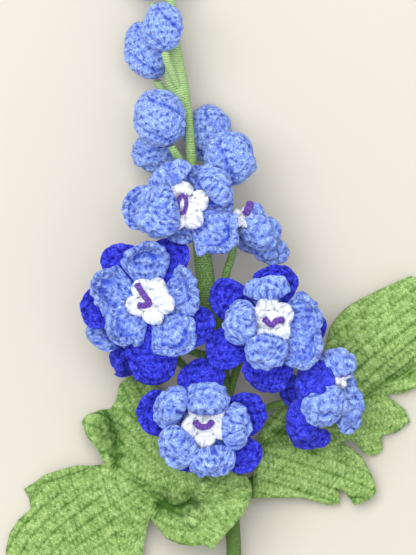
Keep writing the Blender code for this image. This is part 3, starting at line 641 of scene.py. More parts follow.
class Petal:
    """One petal's middle surface, in the drawing, for a distance along it and a share s across it.

    Its edge rolls up and over toward the bloom's front. The share s runs from -1 at one side to 1 at the
    other.
    """

    def __init__(self, matrix, spec, level, flat, fuller, roll, random):
        self.matrix = matrix
        self.angle, reach, width, self.lift, self.bow, self.cup, self.curl = spec
        self.roll, self.sweep = roll
        # what the rolled edge takes up, beyond the reach and width that show
        self.more = max(0, self.roll * (self.sweep - 1))
        self.reach = reach + self.more
        self.width = fuller * width + 2 * self.more
        self.wedge = WEDGE
        self.level = level
        self.flat = flat
        self.wave = random.uniform(0, 2 * math.pi, 4)

    def half(self, along):
        """Half the petal's width: a wedge at its root that blends into a round end."""
        past = np.maximum(0, along - self.reach + self.width / 2)
        dome = np.sqrt(np.maximum(0, (self.width / 2) ** 2 - past**2))
        wedge = self.wedge * along + self.more * self.ease(along)
        return (np.maximum(dome, 0.01) ** -7 + wedge**-7) ** (-1 / 7)

    def ease(self, along):
        """How much the edge rolls, from none at the bloom's middle."""
        rise = np.clip((along - self.flat) / (self.reach - self.flat), 0, 1)
        return np.clip(2.2 * rise - 0.1, 0, 1) ** 2

    def shade(self, along, s):
        """Painted shade in the crease inside the rolled edge and near the bloom's middle."""
        inside = self.edge(along, s) - self.roll * self.sweep
        crease_shade = np.exp(-((inside / 1.9) ** 2)) * self.ease(along) * (self.more > 0)
        return 0.9 * (self.sweep / 2.5) ** 3 * crease_shade + 0.1 * np.exp(-np.maximum(0, along - self.flat) / 4)

    def edge(self, along, s):
        """Distance in from the edge."""
        tip = self.reach - self.width / 2
        side = self.half(along) * (1 - np.abs(s))
        dome = self.width / 2 - np.hypot(along - tip, s * self.half(along))
        return np.maximum(0, np.where(along > tip, dome, side))

    def path(self, along, s):
        """Place out from the bloom's middle, to the side and above its back."""
        a, b, c, d = self.wave
        side = -s * self.half(along)
        ahead = np.maximum(0, along - self.reach + self.width / 2)
        far = np.hypot(ahead, side) + 1e-6
        rise = np.clip((along - self.flat) / (self.reach - self.flat), 0, 1)
        way = np.arctan2(side, along - 0.5 * self.reach)
        waver = 0.85 + 0.15 * np.cos(way) + 0.22 * np.sin(2.3 * way + a) * np.cos(way + b)
        sweep = self.sweep * self.ease(along) * waver
        turned = np.maximum(0, sweep - self.edge(along, s) / max(self.roll, 0.1))
        shift = self.roll * (np.sin(turned) - turned)
        height = self.level + self.lift * rise * rise * (3 - 2 * rise) + self.bow * np.sin(math.pi * rise)
        height += self.cup * s * s * rise + TILT * s * rise + self.roll * (1 - np.cos(turned))
        height += WAVE * np.sin(0.32 * along + c) * np.cos(2.4 * s + d) * rise
        side = side * (1 + RUFFLE * np.sin(0.42 * along + a) * rise) + SWAY * np.sin(0.2 * along + b) * rise
        return along + shift * ahead / far - self.curl * rise**4, side + shift * side / far, height

    def __call__(self, along, s):
        along = np.clip(along, 0.05, self.reach)
        turn = math.radians(self.angle)
        out, side, height = self.path(along, s)
        x = out * math.cos(turn) - side * math.sin(turn)
        y = out * math.sin(turn) + side * math.cos(turn)
        return into(self.matrix, np.stack((x, y, height), axis=-1))

    def outward(self, along, s):
        """The petal's place and the direction out of its face."""
        across = unit(self(along, s + 0.001) - self(along, s - 0.001))
        return self(along, s), unit(np.cross(across, self(along + 0.1, s) - self(along - 0.1, s)))

    def skin(self, thickness, puff, size, depth, fabric):
        """Place of the petal's crocheted skin, with lumps of a size, for a ball's points."""

        def place(share, turn):
            along = self.reach * (1 - np.cos(math.pi * share)) / 2
            s = np.cos(turn)
            here, normal = self.outward(along, s * 0.999)
            deep = self.edge(along, s)
            full = rounded(deep)
            thick = thickness / 2 * full * (1 + puff * np.exp(-(((deep - RIM) / RIM) ** 2)))
            # 40 keeps the stitches' numbers above 0, and the petal's own wave makes them differ
            stitches = (s * self.half(along) + 40) / fabric[0] + 11 * self.wave[0]
            height, own = relief(lambda j: (stitches, NO_REPEAT), along, fabric)
            lump = lumps(here, size)
            calm = full * (0.45 + 0.55 * np.clip(deep / RIM - 0.4, 0, 1))
            thick = thick + (0.15 * size * lump + depth * (height - 0.6)) * calm
            # painted light: legs and lump tops are painted lighter, with painted shade in the creases between
            # stitches, in the rolled edge's crease and near the bloom's middle
            painted_light = np.clip(PAINTED_CREASE_LIGHT + (1 - PAINTED_CREASE_LIGHT) * height + 0.25 * lump - self.shade(along, s), 0, 1)
            return here - normal * (np.where(np.sin(turn) < 0, -1, 1) * thick)[:, None], painted_light, own

        return place


class Hood(Petal):
    """A petal whose end rolls over toward the middle of its bloom: a thick rim, or a whole dome."""

    def __init__(self, matrix, spec, level, random):
        self.matrix = matrix
        self.angle, self.centre, self.radius, self.sweep, self.width = spec
        self.level = level
        self.reach = self.centre + self.radius * math.radians(self.sweep)
        self.wave = random.uniform(0, 2 * math.pi, 4)

    def half(self, along):
        """Half the width of the petal before it rolls."""
        past = np.clip((along - self.reach) / (0.6 * self.width) + 1, 0, 1)
        dome = self.width / 2 * np.sqrt(1 - past**2)
        return np.minimum(dome, WEDGE * along)

    def shade(self, along, s):
        """Painted shade under the roll."""
        return 0.7 * np.exp(-(((along - 0.75 * self.centre) / 4.5) ** 2))

    def edge(self, along, s):
        return np.minimum(self.half(along) * (1 - np.abs(s)), np.maximum(0, self.reach - along))

    def path(self, along, s):
        """Place out from the bloom's middle, to the side and above its back: flat, then round the roll."""
        start = self.centre - ROUNDED * self.width * (1 - np.sqrt(1 - (0.95 * s) ** 2))
        turned = math.radians(self.sweep) * np.clip((along - start) / (self.reach - start), 0, 1)
        onto = np.clip(turned / math.radians(70), 0, 1)
        onto = onto * onto * (3 - 2 * onto)
        narrow = np.sqrt(1 - (0.85 * s * onto) ** 2)
        a, b, c, d = self.wave
        lump = 1 + DENT * np.sin(3 * s + 1.3 * turned + a) * np.cos(1.7 * turned + b) * onto
        lump = lump + SMALL_DENT * np.sin(5 * s + c) * np.cos(2.9 * turned + d) * onto
        up = 1 - np.cos(turned)
        out = np.minimum(along, start) + self.radius * np.sin(turned) * narrow * lump
        side = -s * self.half(along)
        rise = SQUASH * self.radius * up * (1 - (1 - narrow) * up / 2) * lump
        ease = np.clip(along / self.centre, 0, 1) ** 2
        return out, side, self.level + rise + 2.0 * ease + 0.8 * s * ease + 2.0 * onto


class Pad(Petal):
    """A petal seen from its back or side: a dome that stands anywhere, with a hollow under it."""

    def __init__(self, spec, random):
        middle, facing, turn, self.reach, self.width, self.bulge = spec
        facing = Vector(facing).normalized()
        right = Vector((math.cos(math.radians(turn)), math.sin(math.radians(turn)), 0))
        right = (right - facing * facing.dot(right)).normalized()
        turned = Matrix((right, facing.cross(right), facing)).transposed().to_4x4()
        self.matrix = np.array(Matrix.Translation(middle) @ turned)
        self.angle = 0
        self.wave = random.uniform(0, 2 * math.pi, 4)

    def half(self, along):
        """Half the width of a pad with full, rounded corners."""
        middle = np.clip(2 * along / self.reach - 1, -1, 1)
        return np.maximum(0.02, self.width / 2 * (1 - np.abs(middle) ** 2.3) ** (1 / 2.3))

    def shade(self, along, s):
        """A pad gets no painted crease shade."""
        return 0 * along

    def edge(self, along, s):
        end = np.minimum(along, self.reach - along)
        return np.maximum(0, np.minimum(self.half(along) * (1 - np.abs(s)), 1.3 * end))

    def path(self, along, s):
        """Place out from the pad's middle, to the side and above its rim."""
        x = along - self.reach / 2
        y = s * self.half(along)
        a, b, c, d = self.wave
        far = np.clip((2 * x / self.reach) ** 2 + (2 * y / self.width) ** 2, 0, 1.2)
        lump = np.sin(0.45 * x + a) * np.cos(0.50 * y + b) + 0.7 * np.sin(0.8 * x + c) * np.cos(0.75 * y + d)
        return x, -y, self.bulge * (0.5 - far) + 1.2 * lump


def crochet_petal(work, petal, puff=PUFF):
    """A petal of loose stitches, puffed at its edge."""
    yarn = bpy.context.scene.spike_yarn
    fabric = (yarn.stitch / MM, yarn.row / MM, *PETAL_LEGS)
    around = 2 * round(petal.width / FINE)
    work.sheet(around, round(petal.reach / FINE), petal.skin(FULL * SHEET, puff, LUMP, DEPTH, fabric))


def new_material(name):
    """A material with its node tree and its shader."""
    made = bpy.data.materials.new(name)
    made.use_nodes = True
    return made, made.node_tree, made.node_tree.nodes["Principled BSDF"]


def add_node(tree, kind, links=(), **settings):
    """A node with its settings, values for its inputs as in_NUMBER, and the sockets that feed its inputs."""
    node = tree.nodes.new(kind)
    for name, value in settings.items():
        if name.startswith("in_"):
            node.inputs[int(name[3:])].default_value = value
        else:
            setattr(node, name, value)
    for socket, place in links:
        tree.links.new(socket, node.inputs[place])
    return node


# Yarns: the material's name, its colour of painted shade in creases and its colour on pale fibre, its bump
# and its sheen. Brushed acrylic is matt and soft, with a faint halo at its edges and flecks of paler and
# darker fibre. The blues' painted crease shade is a deep, saturated blue. Plied thread is tighter and has
# more sheen. Thread wound tight on the stem is dull, with painted shade in the grooves between its turns.
YARNS = {
    "light": ("brushed_acrylic_light_blue", "324fca", "bdd3fb", 0.9, 0.14),
    "dark": ("brushed_acrylic_dark_blue", "100c8e", "5a62f6", 0.7, 0.06),
    "white": ("brushed_acrylic_white", "b9c2d6", "ffffff", 0.7, 0.2),
    "purple": ("plied_thread_purple", "351a66", "8a66bc", 0.5, 0.3),
    "leaf": ("brushed_acrylic_leaf_green", "3f6a1e", "b4d08a", 0.5, 0.08),
    "thread": ("wound_thread_green", "38440f", "b0d090", 0.4, 0.1),
}
TUFT = (1.8, 0.9, 2.0)  # tufts a millimetre across and along a strand, and from one leg's tint to the next
FLECK = 1.15 / MM  # flecks a metre
PLY = (2.6, 4.5, 0.0)  # turn of the plies, in radians a millimetre across and along a strand
PLY_TINT = 0.06  # how much the plies lighten the yarn
LEG_TINT = 0.12  # how much the legs of yarn differ
PLY_RAISED = 0.2  # how much the plies stand out


@functools.lru_cache
def material(key):
    """Yarn of spun and plied fibre, whose strands are flecked with lighter and darker tufts, with painted
    shade mixed in where the mesh's painted light is low.
    """
    name, painted_shade_hex, fibre, strength, sheen = YARNS[key]
    colour = getattr(bpy.context.scene.spike_colours, key)
    # the colour of the painted shade in creases
    deep = linear(painted_shade_hex)
    made, tree, shader = new_material(name)
    shader.inputs["Roughness"].default_value = 0.85
    shader.inputs["Specular IOR Level"].default_value = 0.15
    shader.inputs["Sheen Weight"].default_value = sheen
    shader.inputs["Sheen Roughness"].default_value = 0.45
    # place across and along the strand, in millimetres, and its leg's tint
    strand = add_node(tree, "ShaderNodeAttribute", attribute_name="strand")
    # a fibre is some 0.02 mm thick; fibres are drawn as tufts of about 0.6 by 1.1 mm, which still show
    drawn = add_node(tree, "ShaderNodeMapping", [(strand.outputs["Vector"], 0)], in_3=TUFT)
    streak = add_node(tree, "ShaderNodeTexNoise", [(drawn.outputs[0], 0)], in_2=1.0, in_3=2.0, in_4=0.6)
    # flecks in the dye are drawn about 0.9 mm apart, again coarser than fibres
    place = add_node(tree, "ShaderNodeTexCoord")
    fleck = add_node(
        tree, "ShaderNodeTexNoise", [(place.outputs["Object"], 0)], in_2=FLECK, in_3=2.0, in_4=0.65
    )
    # plies wind round a strand every 1.4 mm
    wound = add_node(
        tree,
        "ShaderNodeVectorMath",
        [(strand.outputs["Vector"], 0)],
        operation="DOT_PRODUCT",
        in_1=PLY,
    )
    ply = add_node(tree, "ShaderNodeMath", [(wound.outputs["Value"], 0)], operation="SINE")
    tint = add_node(tree, "ShaderNodeAttribute", attribute_name="tint")
    # painted light from the mesh: where it is low, the crease colour is mixed in as painted shade
    painted_light = add_node(tree, "ShaderNodeAttribute", attribute_name="painted_light")
    first = add_node(
        tree, "ShaderNodeMath", [(streak.outputs[0], 0), (fleck.outputs[0], 1)], operation="ADD"
    )
    second = add_node(
        tree,
        "ShaderNodeMath",
        [(ply.outputs[0], 0), (first.outputs[0], 2)],
        operation="MULTIPLY_ADD",
        in_1=PLY_TINT,
    )
    third = add_node(
        tree,
        "ShaderNodeMath",
        [(tint.outputs["Fac"], 0), (second.outputs[0], 2)],
        operation="MULTIPLY_ADD",
        in_1=LEG_TINT,
    )
    # the two noises and the tints together stay in this range, which the ramp is stretched over
    spread = add_node(tree, "ShaderNodeMapRange", [(third.outputs[0], 0)], in_1=0.84, in_2=1.30)
    ramp = add_node(tree, "ShaderNodeValToRGB", [(spread.outputs[0], 0)])
    ramp.color_ramp.elements[0].color = (*(0.55 * np.array(deep) + 0.45 * np.array(colour)), 1)
    ramp.color_ramp.elements[1].color = (*linear(fibre), 1)
    ramp.color_ramp.elements.new(0.5).color = (*colour, 1)
    # painted shade: the crease colour is mixed in where the painted light is low
    shade = add_node(
        tree,
        "ShaderNodeMix",
        [(painted_light.outputs["Fac"], 0), (ramp.outputs[0], 7)],
        data_type="RGBA",
        in_6=(*deep, 1),
    )
    tree.links.new(shade.outputs[2], shader.inputs["Base Color"])
    raised = add_node(
        tree,
        "ShaderNodeMath",
        [(ply.outputs[0], 0), (first.outputs[0], 2)],
        operation="MULTIPLY_ADD",
        in_1=PLY_RAISED,
    )
    bump = add_node(tree, "ShaderNodeBump", [(raised.outputs[0], "Height")], in_0=strength, in_1=0.5 * MM)
    tree.links.new(bump.outputs[0], shader.inputs["Normal"])
    return made


def make_bloom(name, seed):
    """A bloom on its back: outer petals, inner petals, the white centre and the purple loop."""
    bloom = BLOOMS[name]
    matrix = bloom_frame(bloom)
    reach, first = bloom["centre"]
    flat = reach + FLAT_BEYOND
    for side, colour, level, until, roll, share in (
        ("outer", bloom["yarn"], OUTER_LEVEL, OUTER_FLATTER * flat, OUTER_ROLL, 1.0),
        ("inner", "light", INNER_LEVEL, flat, INNER_ROLL, NARROWER),
    ):
        work = Yarnwork(seed)
        for spec in bloom.get(side, ()):
            crochet_petal(work, Petal(matrix, spec, level, until, share, roll, work.random))
        for spec in bloom.get(f"{side}_rolled", ()):
            crochet_petal(work, Hood(matrix, spec, level, work.random), THICK_PUFF)
        for spec in bloom.get(f"{side}_pads", ()):
            crochet_petal(work, Pad(spec, work.random), THICK_PUFF)
        work.fuzz(*PETAL_FUZZ)
        node = f"bloom_{name}_{side}_petals"
        work.finish(node + "_crochet", [node], material(colour))
        seed += 1
    if "heart" in bloom:
        matrix = bloom_frame(bloom["heart"])
    make_centre(name, matrix, reach, first, seed)
    make_loop(name, matrix, bloom["stamens"], bloom.get("thin", LOOP_RADIUS), seed)


def make_centre(name, matrix, reach, first, seed):
    """The white centre: puffed lobes round a knot."""
    work = Yarnwork(seed)
    crochet = (CENTRE_PUFF, CENTRE_LUMP, CENTRE_DEPTH, CENTRE_FABRIC)
    for k in range(LOBES):
        wide = work.random.uniform(0.98, 1.12) * reach
        angle = first + 360 / LOBES * k + work.random.uniform(-6, 6)
        spec = (angle, 1.08 * reach, wide, 2.0, 2.0, -0.5, 0)
        petal = Petal(matrix, spec, CENTRE_LEVEL, CENTRE_FLAT * reach, 1.0, (0.0, 1.0), work.random)
        petal.wedge = LOBE_WEDGE
        work.sheet(*LOBE_POINTS, petal.skin(LOBE_FULL * SHEET, *crochet))
    middle = (0, 0, CENTRE_LEVEL + KNOT_RISE)
    knot = Pad((middle, (0, 0, 1), 0, KNOT * reach, KNOT * reach, KNOT_BULGE), work.random)
    knot.matrix = np.array(matrix) @ knot.matrix
    work.sheet(*KNOT_POINTS, knot.skin(KNOT_FULL * SHEET, *crochet))
    work.fuzz(*CENTRE_FUZZ)
    node = f"bloom_{name}_centre"
    work.finish(node + "_crochet", [node], material("white"))


def smooth_path(points, step):
    """Points every step or so along a smooth curve through the given ones."""
    given = [np.array(p, float) for p in points]
    ends = [2 * given[0] - given[1], *given, 2 * given[-1] - given[-2]]
    path = []
    for a, b, c, d in zip(ends, ends[1:], ends[2:], ends[3:]):
        parts = max(1, round(np.linalg.norm((c - b)[:3]) / step))
        for t in np.arange(parts) / parts:
            bend = (2 * a - 5 * b + 4 * c - d) * t**2 + (3 * b - a - 3 * c + d) * t**3
            path.append(b + ((c - a) * t + bend) / 2)
    return np.array([*path, given[-1]])


def wound_tube(work, path, radii, winding, pitch, lean=1.0, tint=lambda placed: 0.5):
    """A tube along a path, wound with yarn of that pitch; winding is its sides and its grooves' depth."""
    sides, depth = winding
    path = np.asarray(path, float)
    ahead = unit(np.gradient(path[:, :3], axis=0))
    up = unit(np.array((0, 0, 1.0)) - ahead[0] * ahead[0][2])
    ups = []
    for direction in ahead:
        up = unit(up - direction * (up @ direction))
        ups.append(up)
    ups = np.array(ups)
    sides_way = np.cross(ahead, ups)
    lengths = lengths_along(path[:, :3])
    rows = max(6, int(3.2 * lengths[-1] / pitch))
    points, faces = ball(sides, rows)
    share = np.round(np.arccos(np.clip(-points[:, 2], -1, 1)) / math.pi * rows) / rows
    turn = np.arctan2(points[:, 1], points[:, 0])
    along = share * lengths[-1]

    def read(values):
        """The path's values at every point of the tube."""
        return np.stack([np.interp(along, lengths, values[:, k]) for k in range(values.shape[1])], axis=-1)

    ring = np.where((share < 0.5 / rows) | (share > 1 - 0.5 / rows), 0, 1.0)
    phase = 2 * math.pi * along / pitch + lean * turn
    radius = np.interp(along, lengths, radii)
    ridge = np.abs(np.cos(phase / 2))
    radius = (radius - depth + depth * ridge) * ring
    placed = read(path[:, :3]) + radius[:, None] * (
        np.cos(turn)[:, None] * read(ups) + np.sin(turn)[:, None] * read(sides_way)
    )
    strand = np.column_stack((along, radius * turn, radius))
    # painted shade in the grooves between the turns, with the ridges painted lighter
    work.add(placed, faces, strand, tint(placed), 0.35 + 0.65 * ridge)


def make_loop(name, matrix, points, radius, seed):
    """The purple loop: plied yarn, doubled, that lies on the white centre."""
    work = Yarnwork(seed)
    path = [(x, y, LOOP_LEVEL + LOOP_RISE * math.hypot(x, y)) for x, y in points]
    strand = into(matrix, smooth_path(path, 0.6))
    wound_tube(work, strand, np.full(len(strand), radius), (14, LOOP_GROOVE * radius), LOOP_PITCH, 2.0)
    work.fuzz(*LOOP_FUZZ)
    node = f"bloom_{name}_stamens"
    work.finish(node + "_loop", [node], material("purple"))


class Bud:
    """The folded surface of a stuffed bud: its place for a share from base to tip and a turn."""

    def __init__(self, name, random):
        middle, axis, thick, long, _ = BUDS[name]
        turn = Vector(axis).to_track_quat("Z", "X").to_matrix().to_4x4()
        self.matrix = np.array(Matrix.Translation(middle) @ turn)
        self.thick = thick
        self.long = long
        self.folds = random.uniform(0, 2 * math.pi, 3)

    def lap(self, turn, z):
        """Share of the way over the wrapped petal there."""
        return ((turn + LAP_TWIST * z + self.folds[0]) / (2 * math.pi) * LAPS) % 1.0

    def __call__(self, share, turn):
        z = -np.cos(math.pi * share)
        ring = np.sin(math.pi * share)
        _, b, c = self.folds
        lap = self.lap(turn, z)
        fold = np.where(lap < LAP, lap / LAP, 1 - (lap - LAP) / (1 - LAP))
        pinch = np.exp(-(((lap - 0.97) / LAP_CREASE) ** 2)) + np.exp(-(((lap + 0.03) / LAP_CREASE) ** 2))
        lump = 0.06 * np.sin(3 * turn + 3 * z + b) * np.cos(2.6 * z + c)
        radius = self.thick / 2 * ring * (0.95 + 0.18 * fold - 0.15 * pinch + lump)
        x = radius * np.cos(turn)
        y = radius * np.sin(turn)
        return into(self.matrix, np.stack((x, y, (self.long / 2 - 0.8) * z), axis=-1))

    def skin(self, share, turn):
        """Place of the bud's crocheted skin, whose rows run round it."""
        here = self(share, turn)
        yarn = bpy.context.scene.spike_yarn
        width = yarn.stitch / MM
        row = 0.95 * yarn.row / MM
        length = 1.25 * self.long

        def column(j):
            ring = np.sin(math.pi * np.clip((j + 0.5) * row / length, 0, 1))
            around = np.maximum(3, np.round(math.pi * self.thick * ring / width))
            return (turn / (2 * math.pi) % 1) * around, around

        height, own = relief(column, share * length, (width, row, *BUD_LEGS))
        lump = lumps(here, LUMP)
        out = unit(here - self.matrix[:3, 3])
        here = here + out * (0.07 * LUMP * lump + 0.9 * DEPTH * (height - 0.5))[:, None]
        # painted shade in the creases between laps and between stitches, with legs and lump tops painted
        # lighter
        lap = self.lap(turn, -np.cos(math.pi * share))
        crease_shade = np.exp(-((np.minimum(lap, 1 - lap) / LAP_CREASE) ** 2))
        return here, np.clip(PAINTED_CREASE_LIGHT + (1 - PAINTED_CREASE_LIGHT) * height + 0.25 * lump - 0.6 * crease_shade, 0, 1), own


def make_bud(name, seed):
    """A stuffed bud of wrapped petals."""
    work = Yarnwork(seed)
    bud = Bud(name, work.random)
    around = 2 * round(math.pi * bud.thick / 2 / FINE)
    work.sheet(around, round(1.3 * bud.long / FINE), bud.skin)
    work.fuzz(*BUD_FUZZ)
    piece = work.finish(name + "_crochet", [name], material("light"))


class Leaf:
    """A lobed sheet whose middle surface passes smoothly through a few given heights."""

    def __init__(self, outline, heights, folds):
        self.outline = np.array(outline, float)
        self.folds = [(smooth_path(line, 2.0), high, wide) for line, high, wide in folds]
        self.places = np.array([h[:2] for h in heights], float)
        known = np.array([h[2] for h in heights], float)
        count = len(known)
        system = np.zeros((count + 3, count + 3))
        system[:count, :count] = self.spline(self.places)
        system[:count, count:] = np.column_stack((np.ones(count), self.places))
        system[count:, :count] = system[:count, count:].T
        self.weights = np.linalg.solve(system, np.append(known, np.zeros(3)))

    def spline(self, at):
        """Thin-plate spline from the given heights' places to others."""
        far = np.linalg.norm(at[:, None] - self.places[None], axis=2) + 1e-9
        return far**2 * np.log(far)

    def __call__(self, x, y):
        at = np.stack((x, y), axis=-1)
        value = self.spline(at) @ self.weights[:-3]
        value += self.weights[-3] + at @ self.weights[-2:]
        for line, high, wide in self.folds:
            value += high * np.exp(-((nearest(at, line) / wide) ** 2))
        return np.stack((x, y, np.maximum(value, LEAF_SHEET / 2)), axis=-1)

    def shade(self, at):
        """Painted shade in the folds that go down."""
        dark = np.zeros(len(at))
        for line, high, wide in self.folds:
            dark += max(0, -high) * 0.12 * np.exp(-((1.3 * nearest(at, line) / wide) ** 2))
        return dark

    def depth(self, at):
        """How far places are inside the outline, below 0 outside it."""
        a = self.outline
        b = np.roll(a, -1, axis=0)
        span = b - a
        near = np.clip(((at[:, None] - a) * span).sum(2) / (span**2).sum(1), 0, 1)
        far = np.linalg.norm(at[:, None] - a - near[..., None] * span, axis=2).min(1)
        x, y = at[:, :1], at[:, 1:]
        with np.errstate(divide="ignore", invalid="ignore"):
            cross = ((a[:, 1] > y) != (b[:, 1] > y)) & (x < a[:, 0] + (y - a[:, 1]) / span[:, 1] * span[:, 0])
        return np.where(cross.sum(1) % 2 == 1, far, -far)


def rows_of(at, ribs):
    """How far places are along their nearest midrib and, with a sign, across it."""
    best = np.full(len(at), 1e9)
    along, aside = np.zeros(len(at)), np.zeros(len(at))
    for k, rib in enumerate(ribs):
        first, last = unit(rib[1] - rib[0]), unit(rib[-1] - rib[-2])
        line = np.concatenate(([rib[0] - PAST_RIB * first], rib, [rib[-1] + PAST_RIB * last]))
        a, span = line[:-1], np.diff(line, axis=0)
        length = np.linalg.norm(span, axis=1)
        before = np.append(0, np.cumsum(length))[:-1]
        share = np.clip(((at[:, None] - a) * span).sum(2) / length**2, 0, 1)
        off = at[:, None] - a - share[..., None] * span
        far = np.linalg.norm(off, axis=2)
        index = far.argmin(1)
        every = np.arange(len(at))
        inner = nearest(at, rib)
        sign = np.sign(span[index, 0] * off[every, index, 1] - span[index, 1] * off[every, index, 0])
        better = inner < best
        best = np.where(better, inner, best)
        here = before[index] + share[every, index] * length[index] + RIB_APART * k
        along = np.where(better, here, along)
        aside = np.where(better, sign * far[every, index], aside)
    return along, aside


def make_leaf(name, seed):
    """A leaf: a crocheted sheet with rows beside its midribs, a groove every second row, which fades here
    and there, and a thick edge."""
    work = Yarnwork(seed)
    data = LEAVES[name]
    leaf = Leaf(data["outline"], data["heights"], data["folds"])
    flat, faces = leaf_grid(leaf)
    open_sides = borders(faces)
    middle = leaf(flat[:, 0], flat[:, 1])
    east, north = np.array((0.3, 0.0)), np.array((0.0, 0.3))
    normal = unit(np.cross(leaf(*(flat + east).T) - middle, leaf(*(flat + north).T) - middle))
    deep = np.maximum(leaf.depth(flat), 0)
    full = rounded(deep)
    along, aside = rows_of(flat, [smooth_path(rib, 3.0) for rib in data["midribs"]])
    stitch, row = LEAF_FABRIC[:2]
    height, own = relief(lambda j: (along / stitch, NO_REPEAT), aside + LEAF_ROWS_FROM, LEAF_FABRIC)
    ribbing = row * 2
    groove = np.exp(-(((aside / ribbing + 0.5) % 1 - 0.5) * ribbing / GROOVE_WIDTH) ** 2)
    lump = lumps(middle, LEAF_LUMP)
    edge_band = 1 + EDGE_PUFF * np.exp(-(((deep - 2.2) / 1.6) ** 2))
    thick = LEAF_SHEET / 2 * full * edge_band
    groove = groove * np.clip(0.45 + 0.55 * lumps(middle, FADE), 0.1, 1)
    rib = np.abs(np.sin(math.pi * aside / row)) ** 0.7
    rough = (LEAF_DEPTH * (height - 0.5) + data["ribbed"] * rib + 0.35 * lump - GROOVE_DEPTH * groove) * full
    # painted light: legs, rib tops and lump tops are painted lighter, with painted shade in the grooves and
    # in the folds that go down
    light = 0.15 + 0.65 * height + 0.5 * data["ribbed"] * rib + 0.15 * lump - 0.4 * groove
    painted_light = np.clip(light - leaf.shade(flat), 0, 1)
    raised = normal * (thick + rough)[:, None]
    points = np.concatenate((middle + raised, middle - raised))
    count = len(flat)
    a, b = open_sides.T
    walls = np.concatenate((np.column_stack((b, a, a + count)), np.column_stack((b, a + count, b + count))))
    every = np.concatenate((faces, faces[:, ::-1] + count, walls))
    work.add(points, every, np.tile(own, (2, 1)), np.tile(own[:, 2], 2), np.tile(painted_light, 2))
    work.fuzz(*LEAF_FUZZ)
    work.finish(name + "_crochet", [name], material("leaf"))


def leaf_grid(leaf):
    """Flat triangles that fill a leaf's outline."""
    loop = np.concatenate((leaf.outline, leaf.outline[:1]))
    lengths = lengths_along(loop)
    fine = np.linspace(0, lengths[-1], int(lengths[-1] / LEAF_MESH), endpoint=False)
    rim = [Vector([np.interp(at, lengths, loop[:, k]) for k in range(2)]) for at in fine]
    edges = [(i, (i + 1) % len(rim)) for i in range(len(rim))]
    low, high = leaf.outline.min(0), leaf.outline.max(0)
    x, y = np.meshgrid(np.arange(low[0], high[0], LEAF_MESH), np.arange(low[1], high[1], LEAF_MESH))
    x = x + 0.5 * LEAF_MESH * (np.arange(len(x)) % 2)[:, None]
    grid = np.column_stack((x.ravel(), y.ravel()))
    inner = [Vector(p) for p in grid[leaf.depth(grid) > 0.5]]
    places, _, faces, *_ = delaunay_2d_cdt(rim + inner, edges, [], 1, 1e-4)
    return np.array(places), np.array(faces)


def borders(faces):
    """The open sides of a sheet of triangles, in their faces' turn."""
    sides = {(a, b) for face in faces.tolist() for a, b in zip(face, face[1:] + face[:1])}
    return np.array([(a, b) for a, b in sides if (b, a) not in sides])


def thread_tint(placed):
    """The stem's thread gets paler toward the tip."""
    return np.clip(0.35 + 0.004 * (placed[:, 1] + 20), 0, 1) * 6 - 2.5


def make_stem():
    """The main stem with every pedicel and stalk, wound with thread."""
    work = Yarnwork(100)
    pitch = bpy.context.scene.spike_yarn.thread / MM
    main = smooth_path(MAIN_STEM, 3)
    wound_tube(work, main, main[:, 3], MAIN_WINDING, pitch, tint=thread_tint)
    stalks = []
    for bloom in BLOOMS.values():
        matrix = bloom_frame(bloom)
        end = [into(matrix, np.array((0, 0, -back))) for back in (6, GAP)]
        stalks.append(([*bloom["stem"], *end], PEDICEL_RADIUS))
    for middle, axis, thick, long, start in BUDS.values():
        if start:
            back = np.array(Vector(axis).normalized())
            end = [np.array(middle) - back * (long / 2 + more) for more in (4, GAP)]
            stalks.append(([start, *end], min(PEDICEL_RADIUS, PEDICEL_SHARE * thick + PEDICEL_LEAST)))
    stalks += [(LEAF_LEFT_STALK, PEDICEL_RADIUS), (LEAF_RIGHT_STALK, PEDICEL_RADIUS)]
    for points, radius in stalks:
        path = smooth_path(points, 2)
        wound_tube(work, path, np.full(len(path), radius), PEDICEL_WINDING, pitch, tint=thread_tint)
    work.fuzz(*STEM_FUZZ)
    work.finish("stem_winding", ["stem"], material("thread"))


def wire_material():
    """Drawn florist's wire, cut bright at its end: grey metal with soft streaky gloss."""
    made, tree, shader = new_material("drawn_steel_wire")
    shader.inputs["Metallic"].default_value = 1.0
    # marks of drawing are some 0.05 mm apart; they are drawn 1.1 mm apart, so that they can show
    place = add_node(tree, "ShaderNodeTexCoord")
    grain = add_node(tree, "ShaderNodeTexNoise", [(place.outputs["Object"], 0)], in_2=0.9 / MM, in_3=2.0)
    tone = add_node(
        tree,
        "ShaderNodeMix",
        [(grain.outputs[0], 0)],
        data_type="RGBA",
        in_6=(*linear("8d8f90"), 1),
        in_7=(*linear("c8cacb"), 1),
    )
    tree.links.new(tone.outputs[2], shader.inputs["Base Color"])
    rough = add_node(tree, "ShaderNodeMapRange", [(grain.outputs[0], 0)], in_3=0.3, in_4=0.5)
    tree.links.new(rough.outputs[0], shader.inputs["Roughness"])
    return made


def floor_material():
    """Plain matt paper, off white, which takes soft shadows without any gloss."""
    made, _, shader = new_material("matt_backdrop_paper")
    shader.inputs["Base Color"].default_value = (*linear("c9c4b6"), 1)
    shader.inputs["Roughness"].default_value = 0.95
    return made


